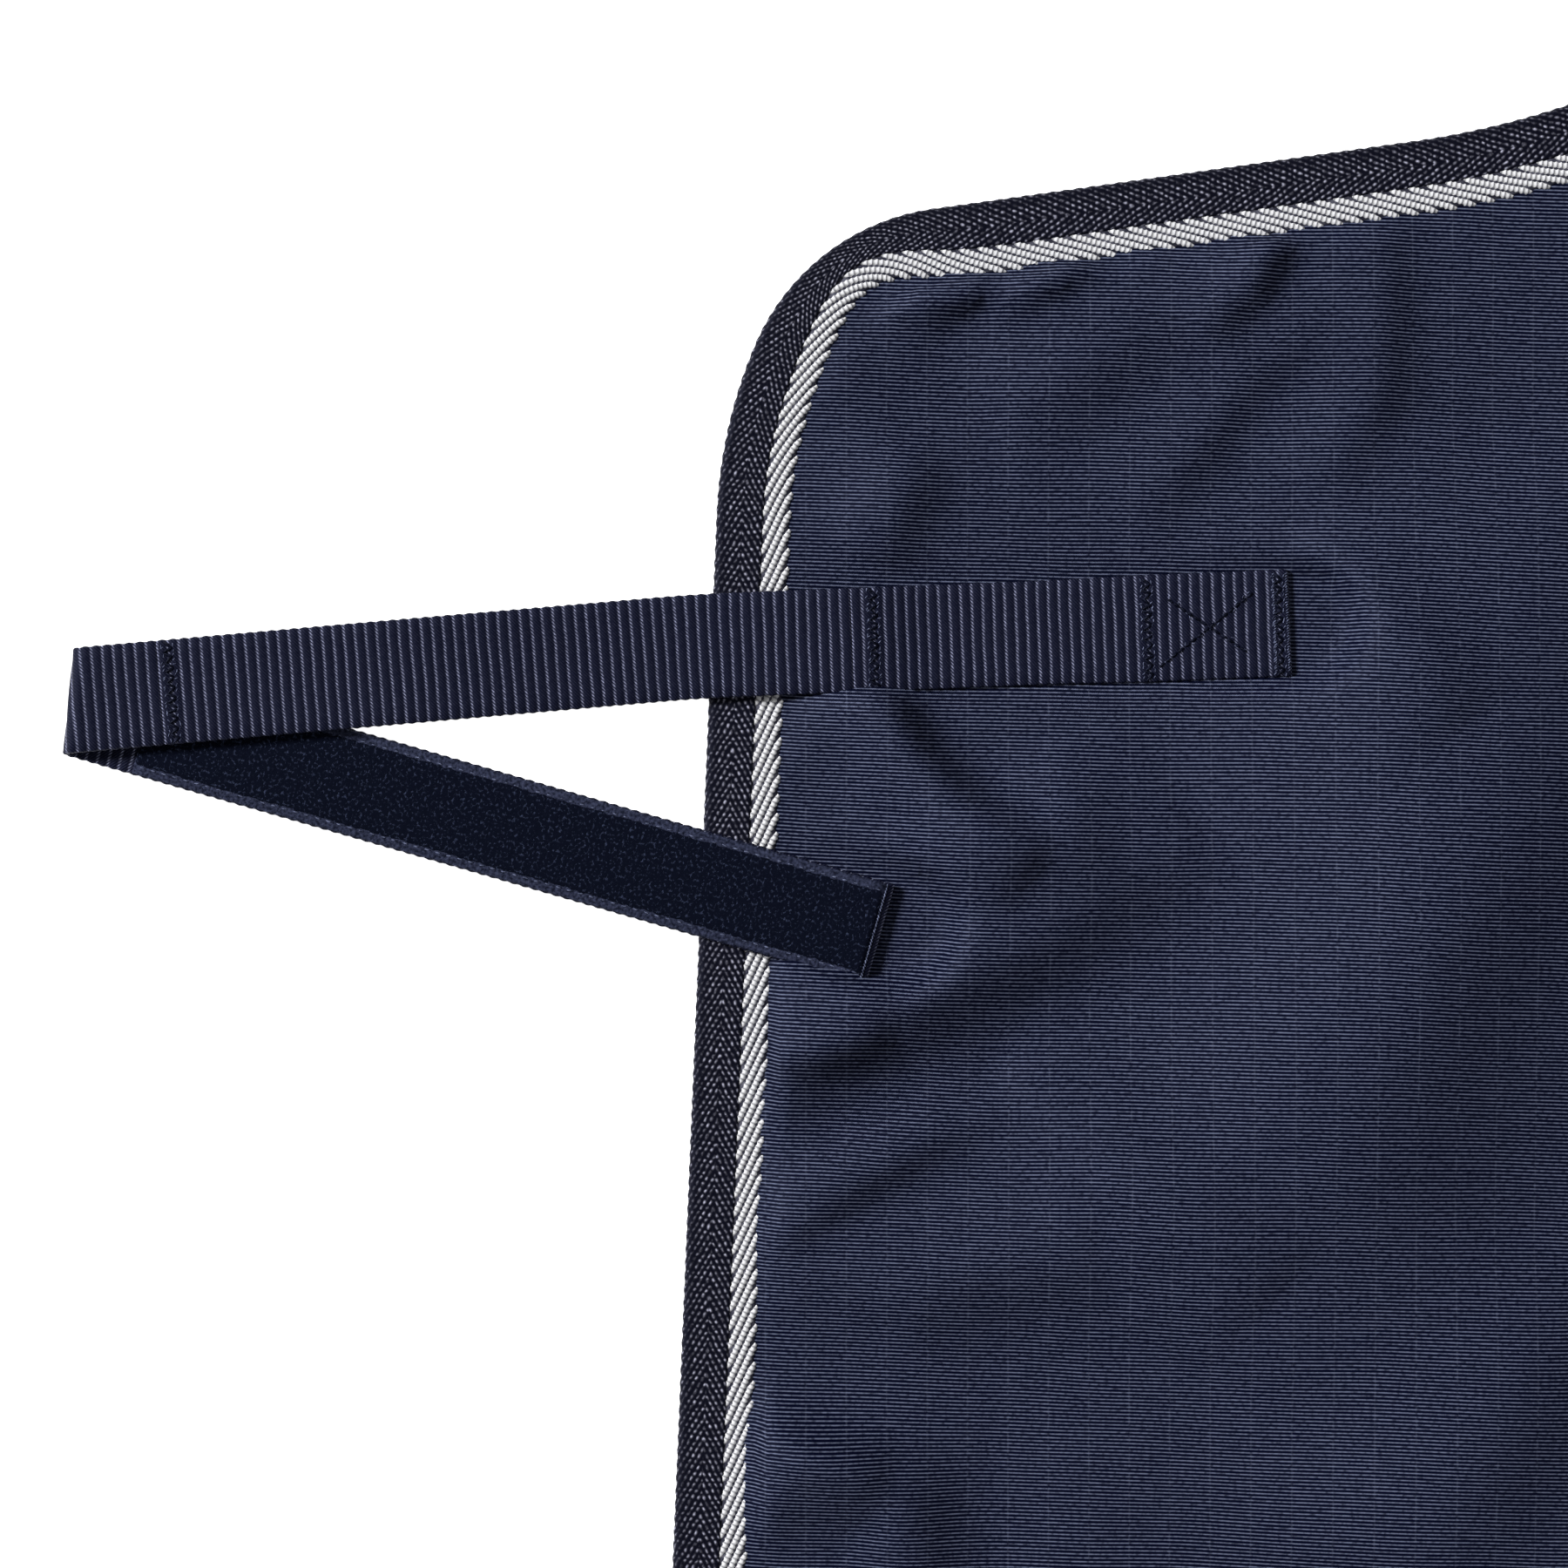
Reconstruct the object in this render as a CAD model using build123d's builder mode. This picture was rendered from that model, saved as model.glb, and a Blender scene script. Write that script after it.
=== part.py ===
from build123d import *
import os
from math import cos, radians, sin

os.makedirs("parts", exist_ok=True)

# A turnout rug laid open on a flat surface, outer side up, in millimetres.
# +X runs along the spine towards the tail and the near (left) side is at -Y.
# The origin is the middle of the laid-out rug, on the surface that it lies on.

# ---------------------------------------------------------------- rug outline
back_length = 1450.0  # withers to tail seam, along the spine
side_drop = 850.0  # spine to hem, on each side
withers_radius = 335.0  # neckline from the spine outwards
withers_turn = 68.0
throat_radius = 210.0  # neckline where it runs into the chest flap
throat_turn = 14.0
flap_top_length = 115.0  # straight top edge of the chest flap
corner_radius = 54.5  # chest corner of the flap
corner_turn = 59.0
lead_radius = 115.0  # gentler curve from the corner into the chest edge
lead_turn = 20.6
lower_front_radius = 180.0
lower_rear_radius = 250.0
fold_line_y = -200.0  # line along which the near flank is thrown over the back
shoulder_depth = 320.0  # shoulder lining, measured back from the withers
tail_flap_length = 300.0
tail_flap_width = 350.0
tail_flap_radius = 80.0
seam_gap = 0.3  # between the tail seam and the flap

# ---------------------------------------------------------------- cloth stack
binding_thick = 0.8
binding_width = 11.3
lining_thick = 0.6
outer_thick = 1.0
tape_width = 6.0
tape_thick = 0.7

# ---------------------------------------------------------------- webbing
webbing_thick = 1.6
clearance = 0.3
hook_tape_thick = 1.2
loop_tape_thick = 1.4

# ---------------------------------------------------------------- chest strap
chest_width = 25.0
strap_inset = 136.2  # sewn end, measured in from the top of the chest edge
strap_below = 26.2  # sewn end, measured down from the top of the chest edge
box_length = 35.0  # stitched box at the sewn end
upper_run = 141.0  # first, nearly level stretch of the strap
upper_heading = 182.3
lower_run = 146.0  # stretch that runs on to the fold
lower_heading = 185.0
strap_bow_radius = 400.0
return_length = 197.0  # from the fold back to the cut end
return_heading = 344.0
ramp_length = 55.0  # where the strap comes down to its sewn end
tape_gap = 0.5  # between hook tape and loop tape
tape_margin = 0.5  # webbing that shows beside a sewn tape
hook_start, hook_length = 21.0, 165.0  # measured from the fold
loop_start = 17.0  # measured from the fold
opening_slack = 44.0  # degrees left out of the bend, for its joint

# ---------------------------------------------------------------- fittings
ring_wire_radius = 2.0
ring_reach = 17.0
ring_fillet = 5.0
ring_inset = 24.0  # bar of a ring, measured in from the rug's edge
tab_length = 42.0
tab_wedge = 12.0
leg_ring_rise = 280.0  # leg-strap ring, measured up from the hem

# ---------------------------------------------------------------- surcingles
belly_width = 40.0
front_surcingle_back = 380.0  # behind the withers
rear_surcingle_back = 760.0
surcingle_rise = 160.0  # strap's hinge line, measured up from the hem
strap_length = 800.0
strap_ramp = 30.0
return_layer = 220.0
anchor_length = 60.0
patch_margin = 10.0
patch_thick = 0.8
hook_bar_radius = 1.5
hook_thick = 3.0
slider_bar = 4.0
slider_length = 28.0
slider_back = 200.0  # slider, measured back from the hook's bar
slider_low_thick = 1.6
rail_width = 3.0
side_clearance = 0.75
cheek_width = 5.0
plate_gap = 0.5
eye_bar_rise = 150.0  # bar of the near eye, measured up from the hem
eye_length = 38.0
eye_thick = 2.5
slot_length, slot_width = 34.0, 9.0
head_length, head_width = 30.0, 8.0
neck_width = 12.0
hook_shoulder, hook_reach = 14.0, 34.0  # from the bar to the neck and to the tip

# ---------------------------------------------------------------- levels
lining_bottom = binding_thick
lining_top = lining_bottom + lining_thick
outer_top = lining_top + outer_thick
binding_top = outer_top + binding_thick
return_bottom = binding_top + clearance
return_top = return_bottom + webbing_thick
loop_top = return_top + loop_tape_thick
hook_bottom = loop_top + tape_gap
leg_bottom = hook_bottom + hook_tape_thick
leg_top = leg_bottom + webbing_thick
crease_z = (return_bottom + leg_top) / 2

up = Vector(0, 0, 1)


def arc_move(radius, heading, turn):
    """Return the move along an arc that starts on a heading and turns left, in degrees."""
    start, end = radians(heading), radians(heading + turn)
    side = radius if turn > 0 else -radius
    return Vector(sin(end) - sin(start), cos(start) - cos(end)) * side


def line_move(length, heading):
    """Return the straight move of a length along a heading, in degrees."""
    return Vector(cos(radians(heading)), sin(radians(heading))) * length


# ---------------------------------------------------------------- key places
flap_heading = 270.0 - withers_turn - throat_turn
chest_heading = flap_heading + corner_turn + lead_turn
corner_from_withers = (
    arc_move(withers_radius, 270.0, -withers_turn)
    + arc_move(throat_radius, 270.0 - withers_turn, -throat_turn)
    + line_move(flap_top_length, flap_heading)
    + arc_move(corner_radius, flap_heading, corner_turn)
    + arc_move(lead_radius, flap_heading + corner_turn, lead_turn)
)
strap_from_withers = corner_from_withers + Vector(strap_inset, -strap_below)
bend_from_withers = strap_from_withers + line_move(upper_run, upper_heading)
crease_from_withers = bend_from_withers + line_move(lower_run, lower_heading)
crease_heading = (lower_heading + return_heading) / 2
bend_outer = (leg_top - return_bottom) / 2
bend_inner = bend_outer - webbing_thick
crease_half = chest_width / 2 / cos(radians(lower_heading - crease_heading + 90.0))
front_reach = crease_from_withers.X - bend_outer * sin(radians(crease_heading - 180.0))
front_reach += crease_half * cos(radians(crease_heading))

tail_reach = back_length + seam_gap + tail_flap_length
withers_x = -(front_reach + tail_reach) / 2
withers = Vector(withers_x, 0)
tail_x = withers_x + back_length
chest_top = withers + corner_from_withers
strap_end = withers + strap_from_withers
strap_bow = withers + bend_from_withers
crease = withers + crease_from_withers
hinge_x = strap_end.X - box_length
lower_front_move = arc_move(lower_front_radius, chest_heading, 360.0 - chest_heading)
chest_line = -(side_drop + chest_top.Y + lower_front_move.Y) / sin(radians(chest_heading))

# ---------------------------------------------------------------- rug cloth
with BuildSketch() as rug_sketch:
    with BuildLine():
        neck = JernArc(withers, (0, -1), withers_radius, -withers_turn)
        throat = JernArc(neck @ 1, neck % 1, throat_radius, -throat_turn)
        flap_top = Line(throat @ 1, throat @ 1 + (throat % 1) * flap_top_length)
        corner = JernArc(flap_top @ 1, flap_top % 1, corner_radius, corner_turn)
        lead = JernArc(corner @ 1, corner % 1, lead_radius, lead_turn)
        chest = Line(lead @ 1, lead @ 1 + (lead % 1) * chest_line)
        front = JernArc(chest @ 1, chest % 1, lower_front_radius, 360.0 - chest_heading)
        hem = Line(front @ 1, (tail_x - lower_rear_radius, -side_drop))
        rear = JernArc(hem @ 1, hem % 1, lower_rear_radius, 90.0)
        Line(rear @ 1, (tail_x, 0))
        mirror(about=Plane.XZ)
    make_face()


def inset_rug(inset):
    """Return the rug's outline face, drawn in by an inset."""
    with BuildSketch() as face:
        add(rug_sketch.sketch)
        offset(amount=-inset, mode=Mode.REPLACE)
    return face.sketch


panel_face = inset_rug(binding_thick)
binding_inner = inset_rug(binding_width)
tape_inner = inset_rug(binding_width + tape_width)
shoulder_x = withers_x + shoulder_depth
front_x = chest_top.X - lower_front_radius


def keep_patch(x_low, x_high, y_low, y_high):
    """Keep only what the open sketch holds between two X and two Y values."""
    with Locations(((x_low + x_high) / 2, (y_low + y_high) / 2)):
        Rectangle(x_high - x_low, y_high - y_low, mode=Mode.INTERSECT)


sides = {"near": (-side_drop, fold_line_y), "back": (fold_line_y, side_drop)}
for side, (y_low, y_high) in sides.items():
    with BuildPart() as outer:
        with BuildSketch(Plane.XY.offset(lining_top)):
            add(panel_face)
            keep_patch(front_x, tail_x, y_low, y_high)
        extrude(amount=outer_thick)
    outer.part.label = f"{side}_outer"
    export_step(outer.part, f"parts/{side}_outer.step")

    linings = {"shoulder": (front_x, shoulder_x), "body": (shoulder_x, tail_x)}
    for place, (x_low, x_high) in linings.items():
        with BuildPart() as lining:
            with BuildSketch(Plane.XY.offset(lining_bottom)):
                add(panel_face)
                keep_patch(x_low, x_high, y_low, y_high)
            extrude(amount=lining_thick)
        lining.part.label = f"{side}_{place}_lining"
        export_step(lining.part, f"parts/{side}_{place}_lining.step")

    with BuildPart() as binding:
        for level in (0.0, outer_top):
            with BuildSketch(Plane.XY.offset(level)):
                add(rug_sketch.sketch)
                add(binding_inner, mode=Mode.SUBTRACT)
                keep_patch(front_x, tail_x, y_low, y_high)
            extrude(amount=binding_thick)
        with BuildSketch(Plane.XY.offset(lining_bottom)):
            add(rug_sketch.sketch)
            add(panel_face, mode=Mode.SUBTRACT)
            keep_patch(front_x, tail_x, y_low, y_high)
        extrude(amount=outer_top - lining_bottom)
    binding.part.label = f"{side}_binding"
    export_step(binding.part, f"parts/{side}_binding.step")

    with BuildPart() as tape:
        with BuildSketch(Plane.XY.offset(outer_top)):
            add(binding_inner)
            add(tape_inner, mode=Mode.SUBTRACT)
            keep_patch(front_x, tail_x, y_low, y_high)
        extrude(amount=tape_thick)
    tape.part.label = f"{side}_contrast_tape"
    export_step(tape.part, f"parts/{side}_contrast_tape.step")

# ---------------------------------------------------------------- tail flap
flap_seam_x = tail_x + seam_gap
flap_end_x = flap_seam_x + tail_flap_length
flap_lead = 2 * tail_flap_radius  # hidden length ahead of the seam, cut away below


def flap_face(inset):
    """Sketch the tail flap, drawn in by an inset on its three free sides."""
    length = tail_flap_length + flap_lead
    with Locations((flap_end_x - length / 2, 0)):
        RectangleRounded(length - 2 * inset, tail_flap_width - 2 * inset, tail_flap_radius - inset)


def flap_hole(inset):
    """Cut the tail flap's inset face out of the open sketch."""
    length = tail_flap_length + flap_lead
    with Locations((flap_end_x - length / 2, 0)):
        RectangleRounded(
            length - 2 * inset,
            tail_flap_width - 2 * inset,
            tail_flap_radius - inset,
            mode=Mode.SUBTRACT,
        )


def keep_flap():
    """Keep only what lies behind the tail seam."""
    keep_patch(flap_seam_x, flap_end_x, -tail_flap_width / 2, tail_flap_width / 2)


flap_layers = {"lining": (lining_bottom, lining_thick), "outer": (lining_top, outer_thick)}
for layer, (level, thick) in flap_layers.items():
    with BuildPart() as flap_cloth:
        with BuildSketch(Plane.XY.offset(level)):
            flap_face(binding_thick)
            keep_flap()
        extrude(amount=thick)
    flap_cloth.part.label = f"tail_flap_{layer}"
    export_step(flap_cloth.part, f"parts/tail_flap_{layer}.step")

with BuildPart() as flap_binding:
    for level in (0.0, outer_top):
        with BuildSketch(Plane.XY.offset(level)):
            flap_face(0.0)
            flap_hole(binding_width)
            keep_flap()
        extrude(amount=binding_thick)
    with BuildSketch(Plane.XY.offset(lining_bottom)):
        flap_face(0.0)
        flap_hole(binding_thick)
        keep_flap()
    extrude(amount=outer_top - lining_bottom)
flap_binding.part.label = "tail_flap_binding"
export_step(flap_binding.part, "parts/tail_flap_binding.step")

with BuildPart() as flap_tape:
    with BuildSketch(Plane.XY.offset(outer_top)):
        flap_face(binding_width)
        flap_hole(binding_width + tape_width)
        keep_flap()
    extrude(amount=tape_thick)
flap_tape.part.label = "tail_flap_contrast_tape"
export_step(flap_tape.part, "parts/tail_flap_contrast_tape.step")

# ---------------------------------------------------------------- chest strap
crease_axis = line_move(1.0, crease_heading)
crease_out = line_move(1.0, crease_heading - 90.0)
crease_plane = Plane(origin=(crease.X, crease.Y, crease_z), x_dir=up, z_dir=crease_out)
bend_plane = Plane(origin=(crease.X, crease.Y, crease_z), x_dir=crease_out, z_dir=-crease_axis)
beyond_crease = crease + line_move(chest_width, lower_heading)
before_crease = crease - line_move(chest_width, return_heading)
return_end = crease + line_move(return_length, return_heading)
strap_plane = Plane.XZ.offset(-strap_end.Y)
tape_face_width = chest_width - 2 * tape_margin

with BuildSketch() as leg_sketch:
    with BuildLine():
        FilletPolyline(strap_end, strap_bow, beyond_crease, radius=strap_bow_radius)
    trace(line_width=chest_width)

with BuildPart() as anchor:
    with BuildSketch(Plane.XY.offset(outer_top)):
        add(leg_sketch.sketch)
        keep_patch(hinge_x, strap_end.X + 1, strap_end.Y - chest_width, strap_end.Y + chest_width)
    extrude(amount=webbing_thick)
anchor.part.label = "chest_strap_anchor"
export_step(anchor.part, "parts/chest_strap_anchor.step")

with BuildPart() as leg:
    with BuildSketch(strap_plane):
        Polygon(
            (beyond_crease.X, leg_bottom),
            (beyond_crease.X, leg_top),
            (hinge_x - ramp_length, leg_top),
            (hinge_x, outer_top + webbing_thick),
            (hinge_x, outer_top),
            (hinge_x - ramp_length, leg_bottom),
            align=None,
        )
    extrude(amount=2 * chest_width, both=True)
    with BuildSketch():
        add(leg_sketch.sketch)
    extrude(amount=2 * leg_top, mode=Mode.INTERSECT)
    split(bisect_by=crease_plane, keep=Keep.BOTTOM)
    with BuildSketch(bend_plane):
        with BuildLine():
            outside = CenterArc((0, 0), bend_outer, opening_slack - 90.0, 180.0 - opening_slack)
            inside = CenterArc((0, 0), bend_inner, opening_slack - 90.0, 180.0 - opening_slack)
            Line(outside @ 0, inside @ 0)
            Line(outside @ 1, inside @ 1)
        make_face()
    extrude(amount=crease_half, both=True)
leg.part.label = "chest_strap_leg"
export_step(leg.part, "parts/chest_strap_leg.step")

with BuildPart() as strap_return:
    with BuildSketch(Plane.XY.offset(return_bottom)):
        with BuildLine():
            Line(before_crease, return_end)
        trace(line_width=chest_width)
    extrude(amount=webbing_thick)
    split(bisect_by=crease_plane, keep=Keep.BOTTOM)
strap_return.part.label = "chest_strap_return"
export_step(strap_return.part, "parts/chest_strap_return.step")

with BuildPart() as loop_tape:
    with BuildSketch(Plane.XY.offset(return_top)):
        with BuildLine():
            Line(crease + line_move(loop_start, return_heading), return_end)
        trace(line_width=tape_face_width)
    extrude(amount=loop_tape_thick)
loop_tape.part.label = "chest_loop_tape"
export_step(loop_tape.part, "parts/chest_loop_tape.step")

hook_low_x = crease.X + hook_start
with BuildPart() as hook_tape:
    with BuildSketch(Plane.XY.offset(hook_bottom)):
        with BuildLine():
            FilletPolyline(strap_end, strap_bow, crease, radius=strap_bow_radius)
        trace(line_width=tape_face_width)
        keep_patch(
            hook_low_x,
            hook_low_x + hook_length,
            strap_end.Y - 2 * chest_width,
            strap_end.Y + chest_width,
        )
    extrude(amount=hook_tape_thick)
hook_tape.part.label = "chest_hook_tape"
export_step(hook_tape.part, "parts/chest_hook_tape.step")

# ---------------------------------------------------------------- tabs and rings
tab_loop_inner = ring_wire_radius + clearance
tab_loop_outer = tab_loop_inner + webbing_thick
bar_z = outer_top + tab_loop_outer
tab_flat_top = 2 * webbing_thick - tab_loop_outer


def webbing_tab(name, bar_place, outward, width):
    """Make a webbing tab sewn to the cloth, looped round a bar at its outward end."""
    inward = -outward
    with BuildPart() as tab:
        with BuildSketch(Plane(origin=bar_place, x_dir=inward, z_dir=inward.cross(up))):
            Circle(tab_loop_outer)
            Polygon(
                (0, -tab_loop_outer),
                (tab_length, -tab_loop_outer),
                (tab_length, tab_flat_top),
                (tab_wedge, tab_flat_top),
                (0, tab_loop_outer),
                align=None,
            )
            Circle(tab_loop_inner, mode=Mode.SUBTRACT)
        extrude(amount=width / 2, both=True)
    tab.part.label = name
    export_step(tab.part, f"parts/{name}.step")


def wire_ring(name, bar_place, outward, width):
    """Make a D-shaped ring of round wire, whose bar lies in a webbing tab."""
    half = width / 2 + side_clearance + ring_wire_radius
    shoulder = ring_reach / 2
    with BuildPart() as ring:
        with BuildLine(Plane(origin=bar_place, x_dir=outward, z_dir=up)):
            path = FilletPolyline(
                (0, -half),
                (shoulder, -half),
                (ring_reach, -half / 2),
                (ring_reach, half / 2),
                (shoulder, half),
                (0, half),
                radius=[1.5 * ring_wire_radius] + [ring_fillet] * 4 + [1.5 * ring_wire_radius],
                close=True,
            )
        with BuildSketch(Plane(origin=path @ 0, z_dir=path % 0)):
            Circle(ring_wire_radius)
        sweep()
    ring.part.label = name
    export_step(ring.part, f"parts/{name}.step")


leg_ring_y = side_drop - leg_ring_rise
chest_ring_y = -(strap_bow.Y + strap_end.Y) / 2
chest_ring_x = chest_top.X + ring_inset - (chest_ring_y + chest_top.Y) / -sin(radians(chest_heading)) * cos(
    radians(chest_heading)
)
ring_places = {
    "chest_ring": (Vector(chest_ring_x, chest_ring_y, bar_z), Vector(-1, 0, 0)),
    "near_leg_ring": (Vector(tail_x - ring_inset, -leg_ring_y, bar_z), Vector(1, 0, 0)),
    "off_leg_ring": (Vector(tail_x - ring_inset, leg_ring_y, bar_z), Vector(1, 0, 0)),
}
for name, (bar_place, outward) in ring_places.items():
    webbing_tab(f"{name}_tab", bar_place, outward, chest_width)
    wire_ring(name, bar_place, outward, chest_width)

# ---------------------------------------------------------------- surcingles
hinge_y = side_drop - surcingle_rise
hook_y = hinge_y - strap_length
eye_y = eye_bar_rise - side_drop
anchor_bottom = outer_top + patch_thick
strap_bottom = outer_top + clearance + slider_low_thick + clearance
strap_top = strap_bottom + webbing_thick
bar_clear = hook_bar_radius + clearance
hook_z = strap_top + bar_clear
layer_bottom = hook_z + bar_clear
bar_half = belly_width / 2 + side_clearance
plate_half = bar_half + cheek_width

for place, surcingle_back in (("front", front_surcingle_back), ("rear", rear_surcingle_back)):
    middle_x = withers_x + surcingle_back

    with BuildPart() as patch:
        with BuildSketch(Plane.XY.offset(outer_top)):
            with Locations((middle_x, hinge_y + anchor_length / 2)):
                Rectangle(belly_width + 2 * patch_margin, anchor_length + 2 * patch_margin)
        extrude(amount=patch_thick)
    patch.part.label = f"{place}_surcingle_patch"
    export_step(patch.part, f"parts/{place}_surcingle_patch.step")

    with BuildPart() as sewn_end:
        with BuildSketch(Plane.XY.offset(anchor_bottom)):
            with Locations((middle_x, hinge_y + anchor_length / 2)):
                Rectangle(belly_width, anchor_length)
        extrude(amount=webbing_thick)
    sewn_end.part.label = f"{place}_surcingle_anchor"
    export_step(sewn_end.part, f"parts/{place}_surcingle_anchor.step")

    with BuildPart() as strap:
        with BuildSketch(Plane.YZ.offset(middle_x)):
            Polygon(
                (hinge_y, anchor_bottom),
                (hinge_y, anchor_bottom + webbing_thick),
                (hinge_y - strap_ramp, strap_top),
                (hook_y, strap_top),
                (hook_y, strap_bottom),
                (hinge_y - strap_ramp, strap_bottom),
                align=None,
            )
            with Locations((hook_y, hook_z)):
                Circle(bar_clear + webbing_thick)
                Circle(bar_clear, mode=Mode.SUBTRACT)
            with Locations((hook_y + webbing_thick, hook_z)):
                Rectangle(
                    4 * webbing_thick,
                    2 * bar_clear,
                    align=(Align.MIN, Align.CENTER),
                    mode=Mode.SUBTRACT,
                )
            with Locations((hook_y, layer_bottom)):
                Rectangle(return_layer, webbing_thick, align=(Align.MIN, Align.MIN))
        extrude(amount=belly_width / 2, both=True)
    strap.part.label = f"{place}_surcingle_strap"
    export_step(strap.part, f"parts/{place}_surcingle_strap.step")

    slider_y = hook_y + slider_back
    with BuildPart() as slider:
        with BuildSketch(Plane.XY.offset(outer_top + clearance)):
            with Locations((middle_x, slider_y)):
                Rectangle(2 * (bar_half + rail_width), slider_length)
                Rectangle(2 * bar_half, slider_length, mode=Mode.SUBTRACT)
        extrude(amount=hook_z + hook_bar_radius - outer_top - clearance)
        with BuildSketch(Plane.XY.offset(outer_top + clearance)):
            with Locations((middle_x, slider_y)):
                with GridLocations(0, slider_length - slider_bar, 1, 2):
                    Rectangle(2 * bar_half, slider_bar)
        extrude(amount=slider_low_thick)
        with BuildSketch(Plane.XY.offset(hook_z - hook_bar_radius)):
            with Locations((middle_x, slider_y)):
                Rectangle(2 * bar_half, slider_bar)
        extrude(amount=2 * hook_bar_radius)
    slider.part.label = f"{place}_surcingle_slider"
    export_step(slider.part, f"parts/{place}_surcingle_slider.step")

    bar_outer = bar_clear + webbing_thick
    hook_plane = Plane(origin=(middle_x, hook_y, hook_z), x_dir=(-1, 0, 0), z_dir=(0, 0, 1))
    with BuildPart() as hook:
        with BuildSketch(hook_plane):
            with Locations((0, (hook_shoulder - hook_bar_radius) / 2)):
                Rectangle(2 * plate_half, hook_shoulder + hook_bar_radius)
            with Locations((0, (bar_outer + plate_gap - hook_bar_radius) / 2)):
                Rectangle(
                    2 * bar_half, bar_outer + plate_gap + hook_bar_radius, mode=Mode.SUBTRACT
                )
            with Locations((0, hook_shoulder)):
                Rectangle(neck_width, hook_reach - hook_shoulder, align=(Align.CENTER, Align.MIN))
            with Locations((0, hook_reach - head_width / 2)):
                RectangleRounded(head_length, head_width, head_width / 4)
        extrude(amount=hook_thick / 2, both=True)
        with BuildSketch(Plane.YZ.offset(middle_x)):
            with Locations((hook_y, hook_z)):
                Circle(hook_bar_radius)
        extrude(amount=bar_half, both=True)
    hook.part.label = f"{place}_surcingle_hook"
    export_step(hook.part, f"parts/{place}_surcingle_hook.step")

    eye_place = Vector(middle_x, eye_y, bar_z)
    webbing_tab(f"{place}_surcingle_tab", eye_place, Vector(0, -1, 0), belly_width)
    eye_plane = Plane(origin=eye_place, x_dir=(-1, 0, 0), z_dir=(0, 0, 1))
    with BuildPart() as eye:
        with BuildSketch(eye_plane):
            with Locations((0, (eye_length - ring_wire_radius) / 2)):
                RectangleRounded(2 * plate_half, eye_length + ring_wire_radius, cheek_width - 1)
            with Locations((0, (tab_loop_outer + plate_gap - ring_wire_radius) / 2)):
                Rectangle(
                    2 * bar_half,
                    tab_loop_outer + plate_gap + ring_wire_radius,
                    mode=Mode.SUBTRACT,
                )
            with Locations((0, (tab_loop_outer + eye_length) / 2)):
                RectangleRounded(slot_length, slot_width, slot_width / 4, mode=Mode.SUBTRACT)
        extrude(amount=eye_thick / 2, both=True)
        with BuildSketch(Plane.YZ.offset(middle_x)):
            with Locations((eye_y, bar_z)):
                Circle(ring_wire_radius)
        extrude(amount=bar_half, both=True)
    eye.part.label = f"{place}_surcingle_eye"
    export_step(eye.part, f"parts/{place}_surcingle_eye.step")
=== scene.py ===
import logging
import math
from contextlib import contextmanager
from dataclasses import dataclass, field
from enum import Enum
from typing import Callable, Iterator, Sequence

import bmesh
import bpy
import numpy as np
from mathutils import Euler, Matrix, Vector
from mathutils.kdtree import KDTree


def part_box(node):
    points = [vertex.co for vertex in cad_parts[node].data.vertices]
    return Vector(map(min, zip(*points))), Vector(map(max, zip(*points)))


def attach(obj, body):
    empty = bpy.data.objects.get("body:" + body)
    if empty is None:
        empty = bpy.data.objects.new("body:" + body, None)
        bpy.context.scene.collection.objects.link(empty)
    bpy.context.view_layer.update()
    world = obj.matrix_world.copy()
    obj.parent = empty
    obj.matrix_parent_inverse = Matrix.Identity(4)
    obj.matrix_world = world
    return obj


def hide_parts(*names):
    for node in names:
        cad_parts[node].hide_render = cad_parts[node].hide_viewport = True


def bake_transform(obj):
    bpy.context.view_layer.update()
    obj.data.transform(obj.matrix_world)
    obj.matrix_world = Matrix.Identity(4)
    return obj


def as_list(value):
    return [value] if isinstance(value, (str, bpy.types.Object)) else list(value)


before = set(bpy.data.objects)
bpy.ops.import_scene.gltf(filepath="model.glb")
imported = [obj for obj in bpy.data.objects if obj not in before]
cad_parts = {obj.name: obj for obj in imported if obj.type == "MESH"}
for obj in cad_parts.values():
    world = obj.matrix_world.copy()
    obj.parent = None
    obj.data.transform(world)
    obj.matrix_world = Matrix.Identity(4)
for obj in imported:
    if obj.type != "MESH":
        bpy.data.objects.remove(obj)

log = logging.getLogger("turnout_rug")
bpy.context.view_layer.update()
MM = 0.001
UV_NAME = "weave"

Array = np.ndarray
Colour = tuple[float, float, float]
Placer = Callable[[Array, Array], Array]
Socket = bpy.types.NodeSocket


# ------------------------------------------------------------------ shared tools
class WeaveFrom(Enum):
    """Where a finish reads the directions of its weave."""

    SEWN = "weave coordinates of the mesh"
    RUG_LENGTH = "along the rug"
    RUG_WIDTH = "across the rug"


def srgb(red: float, green: float, blue: float) -> tuple[float, float, float, float]:
    """Turn display colour values into the linear colour that a shader takes.

    Args:
        red: Red, 0 to 255.
        green: Green, 0 to 255.
        blue: Blue, 0 to 255.

    Returns:
        Linear red, green, blue and an alpha of 1.
    """
    linear = []
    for value in (red, green, blue):
        share = value / 255.0
        linear.append(share / 12.92 if share <= 0.04045 else ((share + 0.055) / 1.055) ** 2.4)
    return linear[0], linear[1], linear[2], 1.0


def smoothstep(value: Array, low: float, high: float) -> Array:
    """Ease from 0 at low to 1 at high."""
    share = np.clip((value - low) / (high - low), 0.0, 1.0)
    return share * share * (3.0 - 2.0 * share)


def read_points(mesh: bpy.types.Mesh) -> Array:
    """Read a mesh's vertices as an array of rows."""
    flat = np.zeros(len(mesh.vertices) * 3)
    mesh.vertices.foreach_get("co", flat)
    return flat.reshape(-1, 3)


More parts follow.
